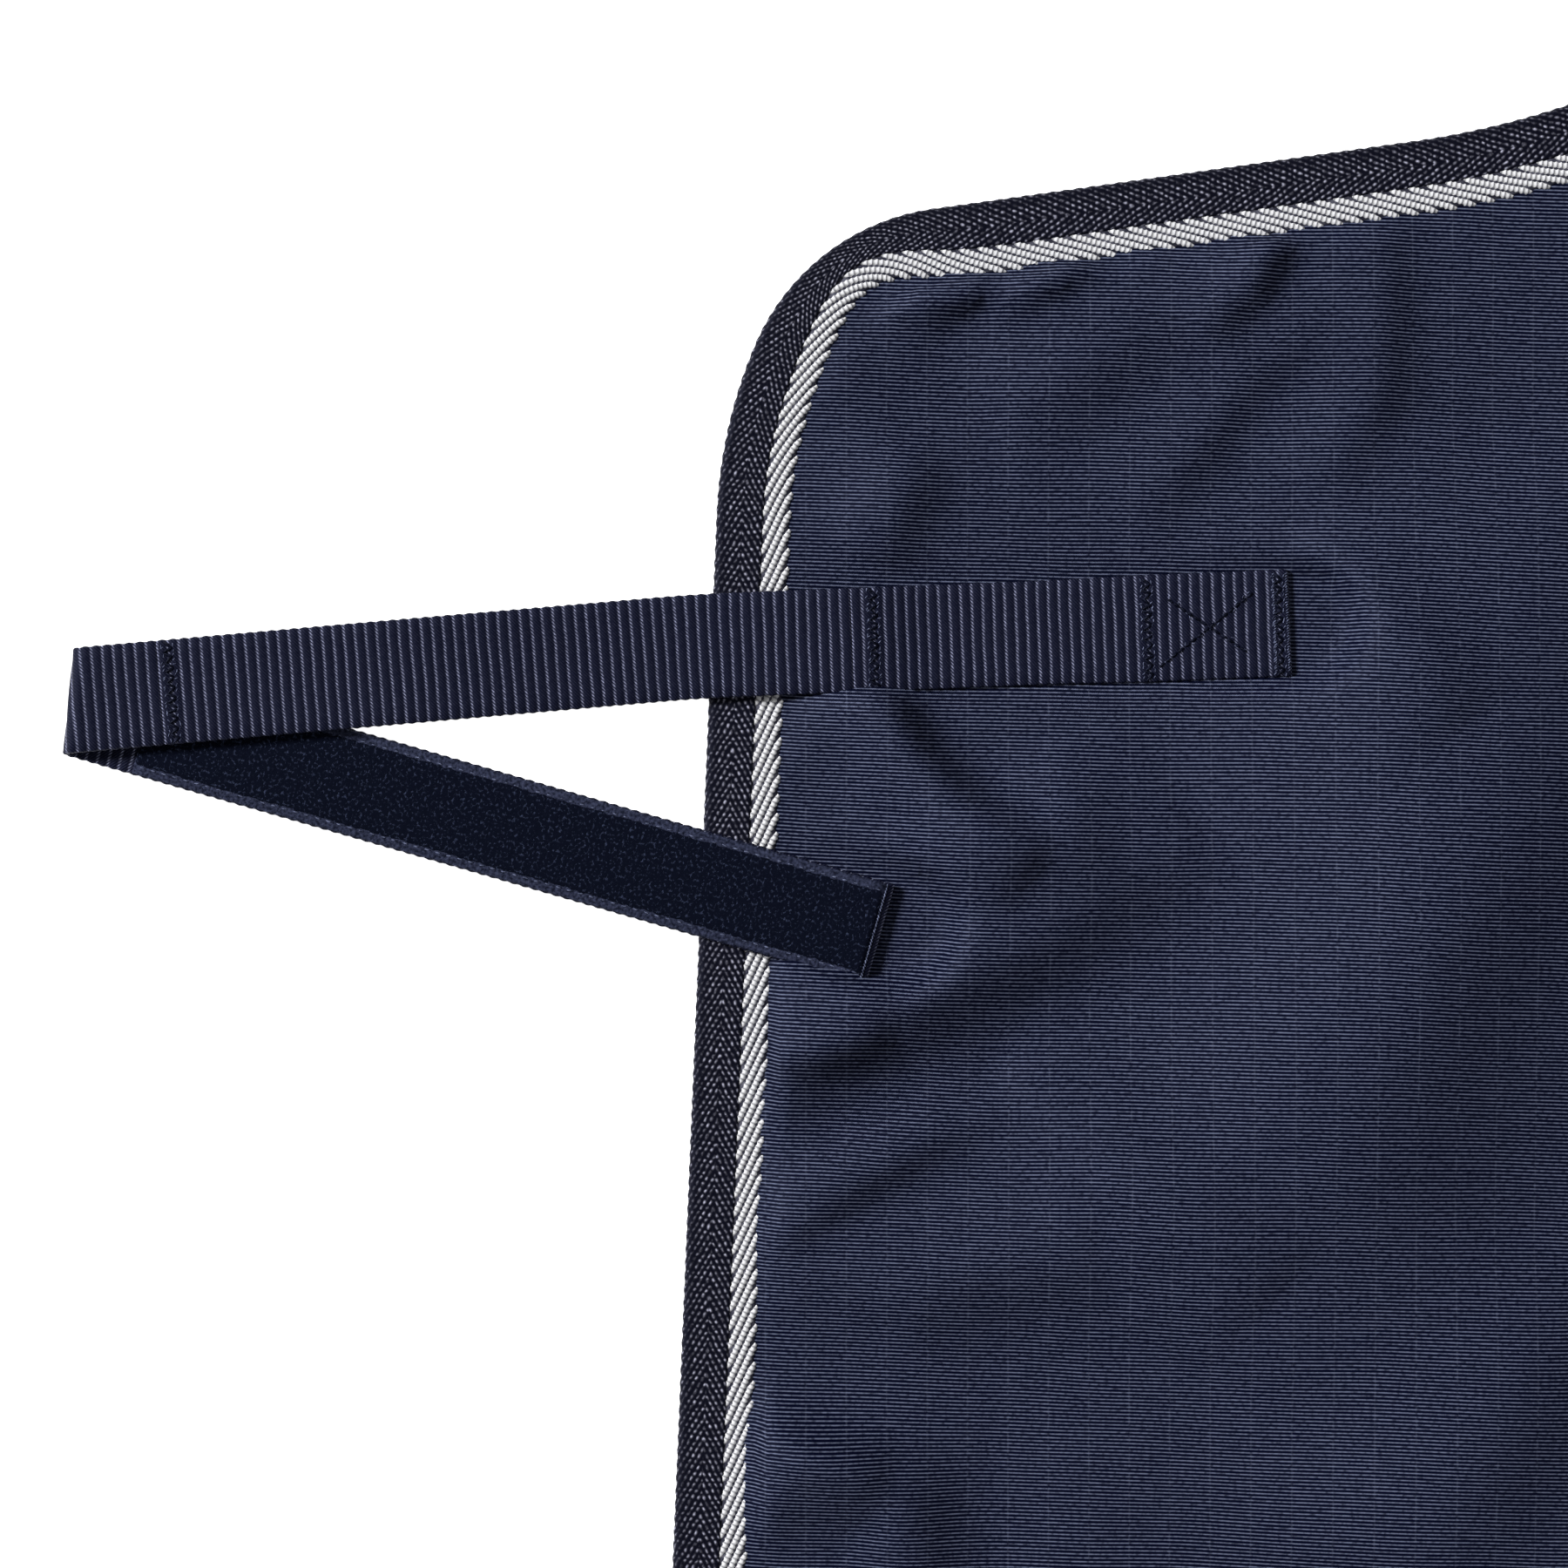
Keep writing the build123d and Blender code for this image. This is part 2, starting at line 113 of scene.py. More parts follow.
def write_points(mesh: bpy.types.Mesh, points: Array) -> None:
    """Write rows of an array back as a mesh's vertices."""
    mesh.vertices.foreach_set("co", points.astype(np.float32).ravel())
    mesh.update()


def show(mesh: bpy.types.Mesh, name: str, material: bpy.types.Material) -> bpy.types.Object:
    """Make an object of a finished mesh, smooth shaded and at the origin.

    Args:
        mesh: The finished mesh, already in place.
        name: The piece's name.
        material: The piece's finish.

    Returns:
        The new object, linked to the scene.
    """
    piece = bpy.data.objects.new(name, mesh)
    bpy.context.scene.collection.objects.link(piece)
    mesh.materials.clear()
    mesh.materials.append(material)
    mesh.shade_smooth()
    return piece


def flat_area(piece: bpy.types.Object) -> float:
    """Give the area of one face of a laid cloth, seen from straight above.

    Args:
        piece: The cloth, open or closed.

    Returns:
        The larger of what its upward and its downward faces cover.
    """
    upward = sum(face.area * max(face.normal.z, 0.0) for face in piece.data.polygons)
    downward = sum(face.area * max(-face.normal.z, 0.0) for face in piece.data.polygons)
    return max(upward, downward)


def report(piece: bpy.types.Object) -> bpy.types.Object:
    """Log a piece's name and face count, and hand it back."""
    log.info("%s: %d faces", piece.name, len(piece.data.polygons))
    return piece


@contextmanager
def editing(mesh: bpy.types.Mesh) -> Iterator[bmesh.types.BMesh]:
    """Open a mesh for bmesh operators, and write the result back to it."""
    bm = bmesh.new()
    bm.from_mesh(mesh)
    yield bm
    bm.to_mesh(mesh)
    bm.free()


def set_weave(mesh: bpy.types.Mesh, pattern: Array) -> None:
    """Store rows of u and v, one for each vertex, as the mesh's weave coordinates."""
    corner = np.zeros(len(mesh.loops), np.int32)
    mesh.loops.foreach_get("vertex_index", corner)
    layer = mesh.uv_layers.new(name=UV_NAME)
    layer.data.foreach_set("uv", pattern[corner].astype(np.float32).ravel())


def woven_grid(
    name: str,
    along: Array,
    across: Array,
    place: Placer,
    weave: Placer | None = None,
    merge: float = 0.0,
) -> bpy.types.Mesh:
    """Make a grid of faces and lay it where a placing rule says.

    Args:
        name: Name of the mesh.
        along: Values of the first parameter, one for each row of the grid.
        across: Values of the second parameter, one for each column.
        place: Gives rows of x, y, z for arrays of the two parameters.
        weave: Gives rows of u, v for the weave; the parameters themselves if None.
        merge: Distance within which doubled vertices are merged, 0 for none.

    Returns:
        The mesh, with its weave coordinates.
    """
    mesh = bpy.data.meshes.new(name)
    with editing(mesh) as bm:
        bmesh.ops.create_grid(bm, x_segments=len(along) - 1, y_segments=len(across) - 1, size=0.5)
    grid = read_points(mesh)
    row = np.rint((grid[:, 0] + 0.5) * (len(along) - 1)).astype(int)
    column = np.rint((grid[:, 1] + 0.5) * (len(across) - 1)).astype(int)
    first, second = along[row], across[column]
    set_weave(mesh, np.stack([first, second], 1) if weave is None else weave(first, second))
    write_points(mesh, place(first, second))
    if merge > 0.0:
        with editing(mesh) as bm:
            bmesh.ops.remove_doubles(bm, verts=bm.verts, dist=merge)
            bmesh.ops.recalc_face_normals(bm, faces=bm.faces)
    return mesh


def graded(low: float, high: float, zones: Sequence[tuple[float, float, float]], coarse: float) -> Array:
    """Space values from low to high, closer together inside and near some zones.

    Args:
        low: First value.
        high: Last value.
        zones: Each zone's start, end and spacing.
        coarse: Spacing far from every zone.

    Returns:
        The values, both ends included.
    """
    growth = 0.22
    values = [low]
    while values[-1] < high:
        here = values[-1]
        step = coarse
        for start, end, spacing in zones:
            distance = max(start - here, here - end, 0.0)
            step = min(step, spacing + growth * distance)
        values.append(here + step)
    scaled = np.array(values)
    return low + (scaled - low) * (high - low) / (scaled[-1] - low)


def wander(x: Array, y: Array, seed: int, wave: float) -> Array:
    """Sum a few crossing waves into a smooth, uneven field between about -1 and 1.

    Args:
        x: X of each point.
        y: Y of each point.
        seed: Picks the waves.
        wave: Middle wavelength in metres.

    Returns:
        The field at each point.
    """
    rng = np.random.default_rng(seed)
    total = np.zeros_like(x)
    count = 7
    for _ in range(count):
        turn = rng.uniform(0.0, math.pi)
        length = wave * rng.uniform(0.65, 1.6)
        phase = rng.uniform(0.0, 2.0 * math.pi)
        total += np.sin((x * math.cos(turn) + y * math.sin(turn)) * 2.0 * math.pi / length + phase)
    return total / math.sqrt(count) / 1.4


# ------------------------------------------------------------------ outline of the rug
@dataclass
class EdgePath:
    """A line on the rug, as closely spaced stations with their inward directions."""

    places: Array
    inward: Array
    closed: bool = True
    reach: Array = field(init=False)

    def __post_init__(self) -> None:
        """Work out the distance of each station along the line."""
        steps = np.linalg.norm(np.diff(self.places, axis=0), axis=1)
        self.reach = np.concatenate([[0.0], np.cumsum(steps)])

    @property
    def length(self) -> float:
        """Length of the whole line in metres."""
        return float(self.reach[-1])

    def point(self, along: Array, inset: Array) -> tuple[Array, Array]:
        """Give X and Y at a distance along the line and an inset from it.

        Args:
            along: Distance along the line; it wraps round on a closed line.
            inset: Distance inwards from the line.

        Returns:
            X and Y of each point.
        """
        here = np.mod(along, self.length) if self.closed else along
        base = [np.interp(here, self.reach, self.places[:, k]) for k in (0, 1)]
        inner = [np.interp(here, self.reach, self.inward[:, k]) for k in (0, 1)]
        size = np.hypot(inner[0], inner[1])
        return base[0] + inner[0] / size * inset, base[1] + inner[1] / size * inset

    def nearest(self, points: Array) -> tuple[Array, Array]:
        """Find how far along the line and how far inside it each point lies.

        Args:
            points: Rows of x, y.

        Returns:
            Distance along the line, and inset from it, negative outside.
        """
        tree = KDTree(len(self.places))
        for index, place in enumerate(self.places):
            tree.insert((place[0], place[1], 0.0), index)
        tree.balance()
        found = np.array([tree.find((p[0], p[1], 0.0))[1] for p in points])
        gap = points - self.places[found]
        return self.reach[found], np.sum(gap * self.inward[found], axis=1)


@dataclass
class Tracer:
    """Draws a line of arcs and straights, the way the pattern cutter's outline goes."""

    here: Array
    heading: float
    places: list[Array] = field(default_factory=list)
    inward: list[Array] = field(default_factory=list)
    spacing: float = 1.0 * MM

    def _keep(self, place: Array, heading: float) -> None:
        """Store one station."""
        self.places.append(np.array(place))
        self.inward.append(np.array([-math.sin(heading), math.cos(heading)]))

    def straight(self, length: float) -> "Tracer":
        """Go straight on for a length in metres."""
        ahead = np.array([math.cos(self.heading), math.sin(self.heading)])
        for step in np.linspace(0.0, length, max(2, math.ceil(length / self.spacing)), endpoint=False):
            self._keep(self.here + ahead * step, self.heading)
        self.here = self.here + ahead * length
        return self

    def arc(self, radius: float, turn: float) -> "Tracer":
        """Go round an arc.

        Args:
            radius: Radius in metres.
            turn: Turn in degrees, to the left if positive.

        Returns:
            The tracer itself.
        """
        sign = math.copysign(1.0, turn)
        centre = self.here + sign * radius * np.array([-math.sin(self.heading), math.cos(self.heading)])
        count = max(2, math.ceil(radius * abs(math.radians(turn)) / self.spacing))
        for step in np.linspace(0.0, math.radians(turn), count, endpoint=False):
            self._keep(self._round(centre, radius * sign, self.heading + step), self.heading + step)
        self.heading += math.radians(turn)
        self.here = self._round(centre, radius * sign, self.heading)
        return self

    @staticmethod
    def _round(centre: Array, radius: float, heading: float) -> Array:
        """Give the place on an arc where the line has a heading."""
        return centre - radius * np.array([-math.sin(heading), math.cos(heading)])

    def path(self) -> EdgePath:
        """End the line here and return it as an open one."""
        self._keep(self.here, self.heading)
        return EdgePath(np.array(self.places), np.array(self.inward), closed=False)


@dataclass
class RugPattern:
    """The flat cutting pattern, in metres, hung on the frame's own corners."""

    withers_radius: float = 335 * MM
    withers_turn: float = 68.0
    throat_radius: float = 210 * MM
    throat_turn: float = 14.0
    flap_top: float = 115 * MM
    corner_radius: float = 54.5 * MM
    corner_turn: float = 59.0
    lead_radius: float = 115 * MM
    lead_turn: float = 20.6
    lower_front_radius: float = 180 * MM
    lower_rear_radius: float = 250 * MM
    back_length: float = 1450 * MM
    shoulder_depth: float = 320 * MM
    fold_line: float = -200 * MM
    fold_half: float = 32 * MM
    span_front: float = -790 * MM
    span_low: float = -700 * MM
    span_high: float = -250 * MM
    corner_ease: float = 4.4 * MM
    corner_width: float = 19 * MM
    corner_share: float = 0.42

    def __post_init__(self) -> None:
        """Trace the near half from withers to tail, and mirror it for the off half."""
        low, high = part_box("near_outer")
        binding_low, binding_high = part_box("near_binding")
        self.tail_x = binding_high.x
        self.hem_y = binding_low.y
        self.withers_x = self.tail_x - self.back_length
        self.cloth_top = high.z
        self.front_x = low.x
        half = self._near_half()
        mirrored = half.places[::-1] * np.array([1.0, -1.0])
        turned = half.inward[::-1] * np.array([1.0, -1.0])
        self.edge = EdgePath(
            np.concatenate([half.places, mirrored[1:]]), np.concatenate([half.inward, turned[1:]])
        )
        self.corners = (half.reach[self.corner_station], 2 * half.length - half.reach[self.corner_station])

    def _near_half(self) -> EdgePath:
        """Trace the near half of the outline."""
        pen = Tracer(np.array([self.withers_x, 0.0]), math.radians(270.0))
        pen.arc(self.withers_radius, -self.withers_turn)
        pen.arc(self.throat_radius, -self.throat_turn)
        pen.straight(self.flap_top)
        before = len(pen.places)
        pen.arc(self.corner_radius, self.corner_turn)
        self.corner_station = round(before + (len(pen.places) - before) * self.corner_share)
        pen.arc(self.lead_radius, self.lead_turn)
        self.chest_top = pen.here.copy()
        remaining = 2.0 * math.pi - pen.heading
        drop = self.lower_front_radius * (1.0 - math.cos(remaining))
        pen.straight((pen.here[1] - self.hem_y - drop) / math.sin(remaining))
        pen.arc(self.lower_front_radius, math.degrees(remaining))
        pen.straight(self.tail_x - self.lower_rear_radius - pen.here[0])
        pen.arc(self.lower_rear_radius, 90.0)
        pen.straight(-pen.here[1])
        return pen.path()

    def ease(self, along: Array) -> Array:
        """Give how much nearer to the edge the tape is laid round the two chest corners."""
        total = np.zeros(along.shape)
        for corner in self.corners:
            total += np.exp(-(((along - corner) / self.corner_width) ** 2))
        return self.corner_ease * total

    def chest_span(self) -> tuple[float, float]:
        """Give the stretch of edge round the near chest corner, as distances along the edge."""
        x, y = self.edge.places[:, 0], self.edge.places[:, 1]
        inside = (x < self.span_front) & (y > self.span_low) & (y < self.span_high)
        return float(self.edge.reach[inside].min()), float(self.edge.reach[inside].max())

    def fold(self, piece: bpy.types.Object) -> bpy.types.Object:
        """Bake a piece's placement into its mesh and hand it back."""
        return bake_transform(piece)


@dataclass(frozen=True)
class Crease:
    """One soft fold in the outer cloth, steep to the left of its line and gentle to the right."""

    points: tuple[tuple[float, float], ...]
    height: float
    lit_width: float
    dark_width: float

    def raise_at(self, x: Array, y: Array) -> Array:
        """Give the fold's height at each point.

        Args:
            x: X of each point.
            y: Y of each point.

        Returns:
            Height in metres.
        """
        line = np.array(self.points)
        lengths = np.linalg.norm(np.diff(line, axis=0), axis=1)
        before = np.concatenate([[0.0], np.cumsum(lengths)])
        best = np.full(x.shape, 1e9)
        signed = np.zeros(x.shape)
        along = np.zeros(x.shape)
        for index, span in enumerate(lengths):
            start = line[index]
            ahead = (line[index + 1] - start) / span
            offset_x, offset_y = x - start[0], y - start[1]
            travel = np.clip(offset_x * ahead[0] + offset_y * ahead[1], 0.0, span)
            gap_x, gap_y = offset_x - travel * ahead[0], offset_y - travel * ahead[1]
            gap = np.hypot(gap_x, gap_y)
            side = np.sign(ahead[0] * gap_y - ahead[1] * gap_x)
            closer = gap < best
            best = np.where(closer, gap, best)
            signed = np.where(closer, side * gap, signed)
            along = np.where(closer, (before[index] + travel) / before[-1], along)
        signed = signed + self.dark_width
        width = np.where(signed > 0.0, self.dark_width, self.lit_width)
        taper = np.sin(np.pi * np.clip(along, 0.0, 1.0)) ** 0.6
        return self.height * taper * np.exp(-0.5 * (signed / width) ** 2)


@dataclass
class Drape:
    """How the laid-out rug lies: broad swells of all layers, and puckers of the outer cloth."""

    pattern: RugPattern
    swell: float = 5.0 * MM
    swell_wave: float = 330 * MM
    pucker: float = 2.2 * MM
    pucker_wave: float = 15 * MM
    pucker_reach: float = 10 * MM
    crinkle: float = 0.45 * MM
    crinkle_wave: float = 46 * MM
    edge_inset: float = 17.3 * MM
    fine_centre: tuple[float, float] = (-910 * MM, -475 * MM)
    fine_half: tuple[float, float] = (120 * MM, 205 * MM)
    depth_scale: float = 1.7
    dark_scale: float = 0.95
    crease_start: tuple[float, float] = (0.1 * MM, 3.2 * MM)
    strap_clear: tuple[float, float] = (12.5 * MM, 16.5 * MM)
    strap_ends: tuple[tuple[float, float], ...] = ((-873, -438.9), (-1010, -440), (-1160, -457), (-968, -510))

    def broad(self, x: Array, y: Array) -> Array:
        """Give the swell that every layer follows, flat near straps, rings and the tail seam.

        Args:
            x: X of each point.
            y: Y of each point.

        Returns:
            Height in metres, never negative.
        """
        calm = smoothstep(x, self.pattern.withers_x - 120 * MM, self.pattern.withers_x + 60 * MM)
        for node in ("front_surcingle_strap", "rear_surcingle_strap"):
            low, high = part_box(node)
            middle = (low.x + high.x) / 2
            calm = calm * smoothstep(np.abs(x - middle), 45 * MM, 150 * MM)
        calm = calm * smoothstep(self.pattern.tail_x - x, 70 * MM, 200 * MM)
        return self.swell * calm * (1.0 + wander(x, y, 4, self.swell_wave)) ** 2 / 2.4

    def puckers(self, x: Array, y: Array) -> Array:
        """Give the small folds that only the outer cloth has, above the lining.

        Args:
            x: X of each point.
            y: Y of each point.

        Returns:
            Height in metres, never negative.
        """
        along, inset = self.pattern.edge.nearest(np.stack([x, y], 1))
        depth = np.maximum(inset - self.edge_inset, 0.0)
        lean = along + depth * 0.7
        gather = np.maximum(wander(lean, lean * 0.0, 9, self.pucker_wave), -0.4) + 0.4
        patchy = 0.55 + 0.45 * wander(lean, lean * 0.0, 12, 9 * self.pucker_wave)
        fade = np.exp(-depth / self.pucker_reach) * smoothstep(depth, -0.001 * MM, 3 * MM)
        edge_folds = self.pucker * gather * np.maximum(patchy, 0.0) * fade
        crinkle = self.crinkle * (1.0 + wander(x, y * 0.7, 21, self.crinkle_wave))
        height = edge_folds + crinkle * smoothstep(depth, 0.0, 12 * MM)
        for crease in self.creases():
            height += crease.raise_at(x, y) * smoothstep(depth, *self.crease_start)
        beyond = np.maximum(np.abs(x - self.fine_centre[0]) - self.fine_half[0], 0.0)
        beyond = np.hypot(beyond, np.maximum(np.abs(y - self.fine_centre[1]) - self.fine_half[1], 0.0))
        height = height * smoothstep(-beyond, -120 * MM, -10 * MM)
        return height * self._clear_of_straps(x, y)

    def _clear_of_straps(self, x: Array, y: Array) -> Array:
        """Give 0 under a strap or patch that lies on the cloth, rising to 1 a little away from it."""
        share = np.ones(x.shape)
        for index in (0, 2):
            start, end = (np.array(self.strap_ends[index + k]) * MM for k in (0, 1))
            line = end - start
            travel = np.clip(((x - start[0]) * line[0] + (y - start[1]) * line[1]) / (line @ line), 0.0, 1.0)
            gap = np.hypot(x - start[0] - travel * line[0], y - start[1] - travel * line[1])
            share = share * smoothstep(gap, *self.strap_clear)
        nodes = ["chest_ring_tab", "near_leg_ring_tab", "off_leg_ring_tab"]
        for place in ("front", "rear"):
            nodes += [f"{place}_surcingle_strap", f"{place}_surcingle_patch", f"{place}_surcingle_eye"]
            nodes.append(f"{place}_surcingle_tab")
        for node in nodes:
            low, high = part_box(node)
            beyond_x = np.maximum(np.maximum(low.x - x, x - high.x), 0.0)
            beyond_y = np.maximum(np.maximum(low.y - y, y - high.y), 0.0)
            share = share * smoothstep(np.hypot(beyond_x, beyond_y), 0.5 * MM, 9 * MM)
        return share

    def creases(self) -> list[Crease]:
        """List the soft folds of the chest flap, placed from the top of its chest edge."""
        corner_x, corner_y = self.pattern.chest_top

        def crease(height: float, lit: float, dark: float, *steps: tuple[float, float]) -> Crease:
            """Place one fold; its steps and widths are in millimetres."""
            points = tuple((corner_x + a * MM, corner_y + b * MM) for a, b in steps)
            return Crease(points, height * self.depth_scale * MM, lit * MM, dark * self.dark_scale * MM)

        return [
            crease(4.6, 4.5, 3.2, (82, 76), (72, 64), (61, 51), (48, 42)),
            crease(4.2, 5.0, 3.2, (105, 75), (92, 62), (80, 53), (66, 45)),
            crease(3.2, 4.0, 2.8, (70, 71), (59, 58), (49, 50), (40, 44)),
            crease(3.2, 4.0, 3.0, (45, 68), (35, 53), (26, 41), (18, 31)),
            crease(3.8, 7.0, 3.6, (145, 82), (136, 66), (128, 50), (115, 40)),
            crease(3.2, 16.0, 10.0, (126, 46), (99, 33), (68, 16)),
            crease(2.8, 14.0, 5.6, (158, 82), (162, 57), (161, 28), (145, 0)),
            crease(2.6, 10.0, 5.5, (148, 46), (128, 28), (117, 13), (101, -7)),
            crease(3.0, 9.0, 6.0, (54, 15), (47, -2), (42, -15)),
            crease(6.5, 9.0, 4.6, (34, -20), (42, -42), (50, -56), (60, -67), (79, -79)),
            crease(3.6, 10.0, 8.0, (87, -54), (90, -71), (88, -82), (75, -87), (45, -90)),
            crease(6.4, 18.0, 10.5, (119, -81), (86, -103), (70, -112), (55, -119), (35, -133), (1, -153)),
            crease(3.2, 6.0, 4.0, (42, -125), (25, -130), (3, -132)),
            crease(2.8, 8.0, 4.0, (70, -142), (37, -160), (23, -169), (3, -181)),
            crease(3.6, 14.0, 10.0, (72, -125), (101, -147), (117, -158), (139, -177)),
            crease(3.2, 9.0, 9.0, (92, -184), (48, -192), (3, -181)),
            crease(4.6, 9.0, 8.0, (42, -262), (36, -240), (21, -237), (-4, -239)),
            crease(3.4, 6.0, 4.0, (39, -233), (17, -226), (-4, -216)),
            crease(8.0, 36.0, 26.0, (217, 13), (208, -42), (199, -85), (183, -129), (161, -173), (139, -216)),
            crease(2.8, 12.0, 8.0, (141, -2), (156, -13), (166, -24), (182, -45)),
            crease(4.5, 26.0, 18.0, (214, -184), (196, -224), (179, -267)),
        ]

    def cloth(self, x: Array, y: Array) -> Array:
        """Give the height of the outer cloth's upper face."""
        return self.pattern.cloth_top + self.broad(x, y) + self.puckers(x, y)


# ------------------------------------------------------------------ shader bench
class Bench:
    """Places and joins the nodes of one material or node group."""

    def __init__(self, tree: bpy.types.NodeTree) -> None:
        """Work on a node tree."""
        self.tree = tree

    def node(self, kind: str, **settings: object) -> bpy.types.Node:
        """Add a node and set its own properties."""
        made = self.tree.nodes.new(kind)
        for name, value in settings.items():
            setattr(made, name, value)
        return made

    def feed(self, socket: Socket, value: object) -> None:
        """Join a socket to another one, or set its value."""
        if isinstance(value, Socket):
            self.tree.links.new(value, socket)
        else:
            socket.default_value = value

    def math(self, operation: str, *values: object, clamp: bool = False) -> Socket:
        """Add a maths node and return its result."""
        made = self.node("ShaderNodeMath", operation=operation, use_clamp=clamp)
        for socket, value in zip(made.inputs, values):
            self.feed(socket, value)
        return made.outputs[0]

    def blend(self, share: object, first: object, second: object) -> Socket:
        """Mix two colours and return the result."""
        made = self.node("ShaderNodeMix", data_type="RGBA")
        self.feed(made.inputs[0], share)
        self.feed(made.inputs[6], first)
        self.feed(made.inputs[7], second)
        return made.outputs[2]

    def group(self, tree: bpy.types.NodeTree, **values: object) -> Socket:
        """Place a node group, feed its named inputs and return its first output."""
        made = self.node("ShaderNodeGroup", node_tree=tree)
        for name, value in values.items():
            self.feed(made.inputs[name], value)
        return made.outputs[0]

    def weave_axes(
        self, source: WeaveFrom = WeaveFrom.SEWN
    ) -> tuple[Socket, Socket, Socket]:
        """Read a piece's weave directions: along, across and both as a vector."""
        split = self.node("ShaderNodeSeparateXYZ")
        if source is WeaveFrom.SEWN:
            place = self.node("ShaderNodeUVMap", uv_map=UV_NAME).outputs[0]
        else:
            place = self.node("ShaderNodeTexCoord").outputs["Object"]
        self.feed(split.inputs[0], place)
        if source is WeaveFrom.RUG_WIDTH:
            return split.outputs[1], split.outputs[0], place
        return split.outputs[0], split.outputs[1], place


def new_group(name: str, inputs: dict[str, float], vectors: Sequence[str], outputs: Sequence[str]):
    """Start a shader node group with named sockets.

    Args:
        name: Name of the group.
        inputs: Number inputs with their usual values.
        vectors: Names of the vector inputs.
        outputs: Names of the number outputs.

    Returns:
        The group, its bench, its input node and its output node.
    """
    tree = bpy.data.node_groups.new(name, "ShaderNodeTree")
    for label in vectors:
        tree.interface.new_socket(name=label, in_out="INPUT", socket_type="NodeSocketVector")
    for label, value in inputs.items():
        made = tree.interface.new_socket(name=label, in_out="INPUT", socket_type="NodeSocketFloat")
        made.default_value = value
    for label in outputs:
        tree.interface.new_socket(name=label, in_out="OUTPUT", socket_type="NodeSocketFloat")
    bench = Bench(tree)
    return tree, bench, bench.node("NodeGroupInput"), bench.node("NodeGroupOutput")


class Effects:
    """The node groups that several finishes share, each built once."""

    def __init__(self) -> None:
        """Build the groups."""
        self.ridge = self._ridge()
        self.fleck = self._fleck()

    @staticmethod
    def _ridge() -> bpy.types.NodeTree:
        """Rows of rounded threads: 1 on a thread's crest and 0 between two threads."""
        tree, bench, given, out = new_group(
            "thread_ridges", {"Coordinate": 0.0, "Pitch": 0.001, "Shift": 0.0, "Power": 1.0}, (), ("Height",)
        )
        turns = bench.math("DIVIDE", given.outputs["Coordinate"], given.outputs["Pitch"])
        turns = bench.math("ADD", turns, given.outputs["Shift"])
        wave = bench.math("COSINE", bench.math("MULTIPLY", turns, 2.0 * math.pi))
        height = bench.math("MULTIPLY_ADD", wave, 0.5, 0.5)
        bench.feed(out.inputs["Height"], bench.math("POWER", height, given.outputs["Power"]))
        return tree

    @staticmethod
    def _fleck() -> bpy.types.NodeTree:
        """Uneven brightness of the fibres, from 0 to 1."""
        tree, bench, given, out = new_group(
            "fibre_fleck", {"Scale": 900.0, "Low": 0.35, "High": 0.65}, ("Place",), ("Value",)
        )
        noise = bench.node("ShaderNodeTexNoise", noise_dimensions="3D")
        bench.feed(noise.inputs["Vector"], given.outputs["Place"])
        bench.feed(noise.inputs["Scale"], given.outputs["Scale"])
        noise.inputs["Detail"].default_value = 2.0
        spread = bench.node("ShaderNodeMapRange", clamp=True)
        bench.feed(spread.inputs["Value"], noise.outputs[0])
        bench.feed(spread.inputs["From Min"], given.outputs["Low"])
        bench.feed(spread.inputs["From Max"], given.outputs["High"])
        bench.feed(out.inputs["Value"], spread.outputs["Result"])
        return tree


@dataclass(frozen=True)
class Finish:
    """What every finish of the rug has in common."""

    name: str
    roughness: float = 0.7
    specular: float = 0.15
    metallic: float = 0.0
    tint: Colour = (205, 214, 255)
    bump: float = 0.0
    weave: WeaveFrom = WeaveFrom.SEWN

    def start(self) -> tuple[bpy.types.Material, Bench, bpy.types.Node]:
        """Make the material with its shader and return both with a bench."""
        material = bpy.data.materials.new(self.name)
        material.use_nodes = True
        material.node_tree.nodes.clear()
        bench = Bench(material.node_tree)
        shader = bench.node("ShaderNodeBsdfPrincipled")
        out = bench.node("ShaderNodeOutputMaterial")
        bench.feed(out.inputs["Surface"], shader.outputs[0])
        shader.inputs["Roughness"].default_value = self.roughness
        shader.inputs["Specular IOR Level"].default_value = self.specular
        shader.inputs["Metallic"].default_value = self.metallic
        shader.inputs["Specular Tint"].default_value = srgb(*self.tint)
        return material, bench, shader

    def emboss(self, bench: Bench, shader: bpy.types.Node, height: Socket) -> None:
        """Raise the surface by a height from 0 to 1, times the finish's bump."""
        bump = bench.node("ShaderNodeBump")
        bump.inputs["Strength"].default_value = 1.0
        bump.inputs["Distance"].default_value = self.bump
        bench.feed(bump.inputs["Height"], height)
        bench.feed(shader.inputs["Normal"], bump.outputs[0])


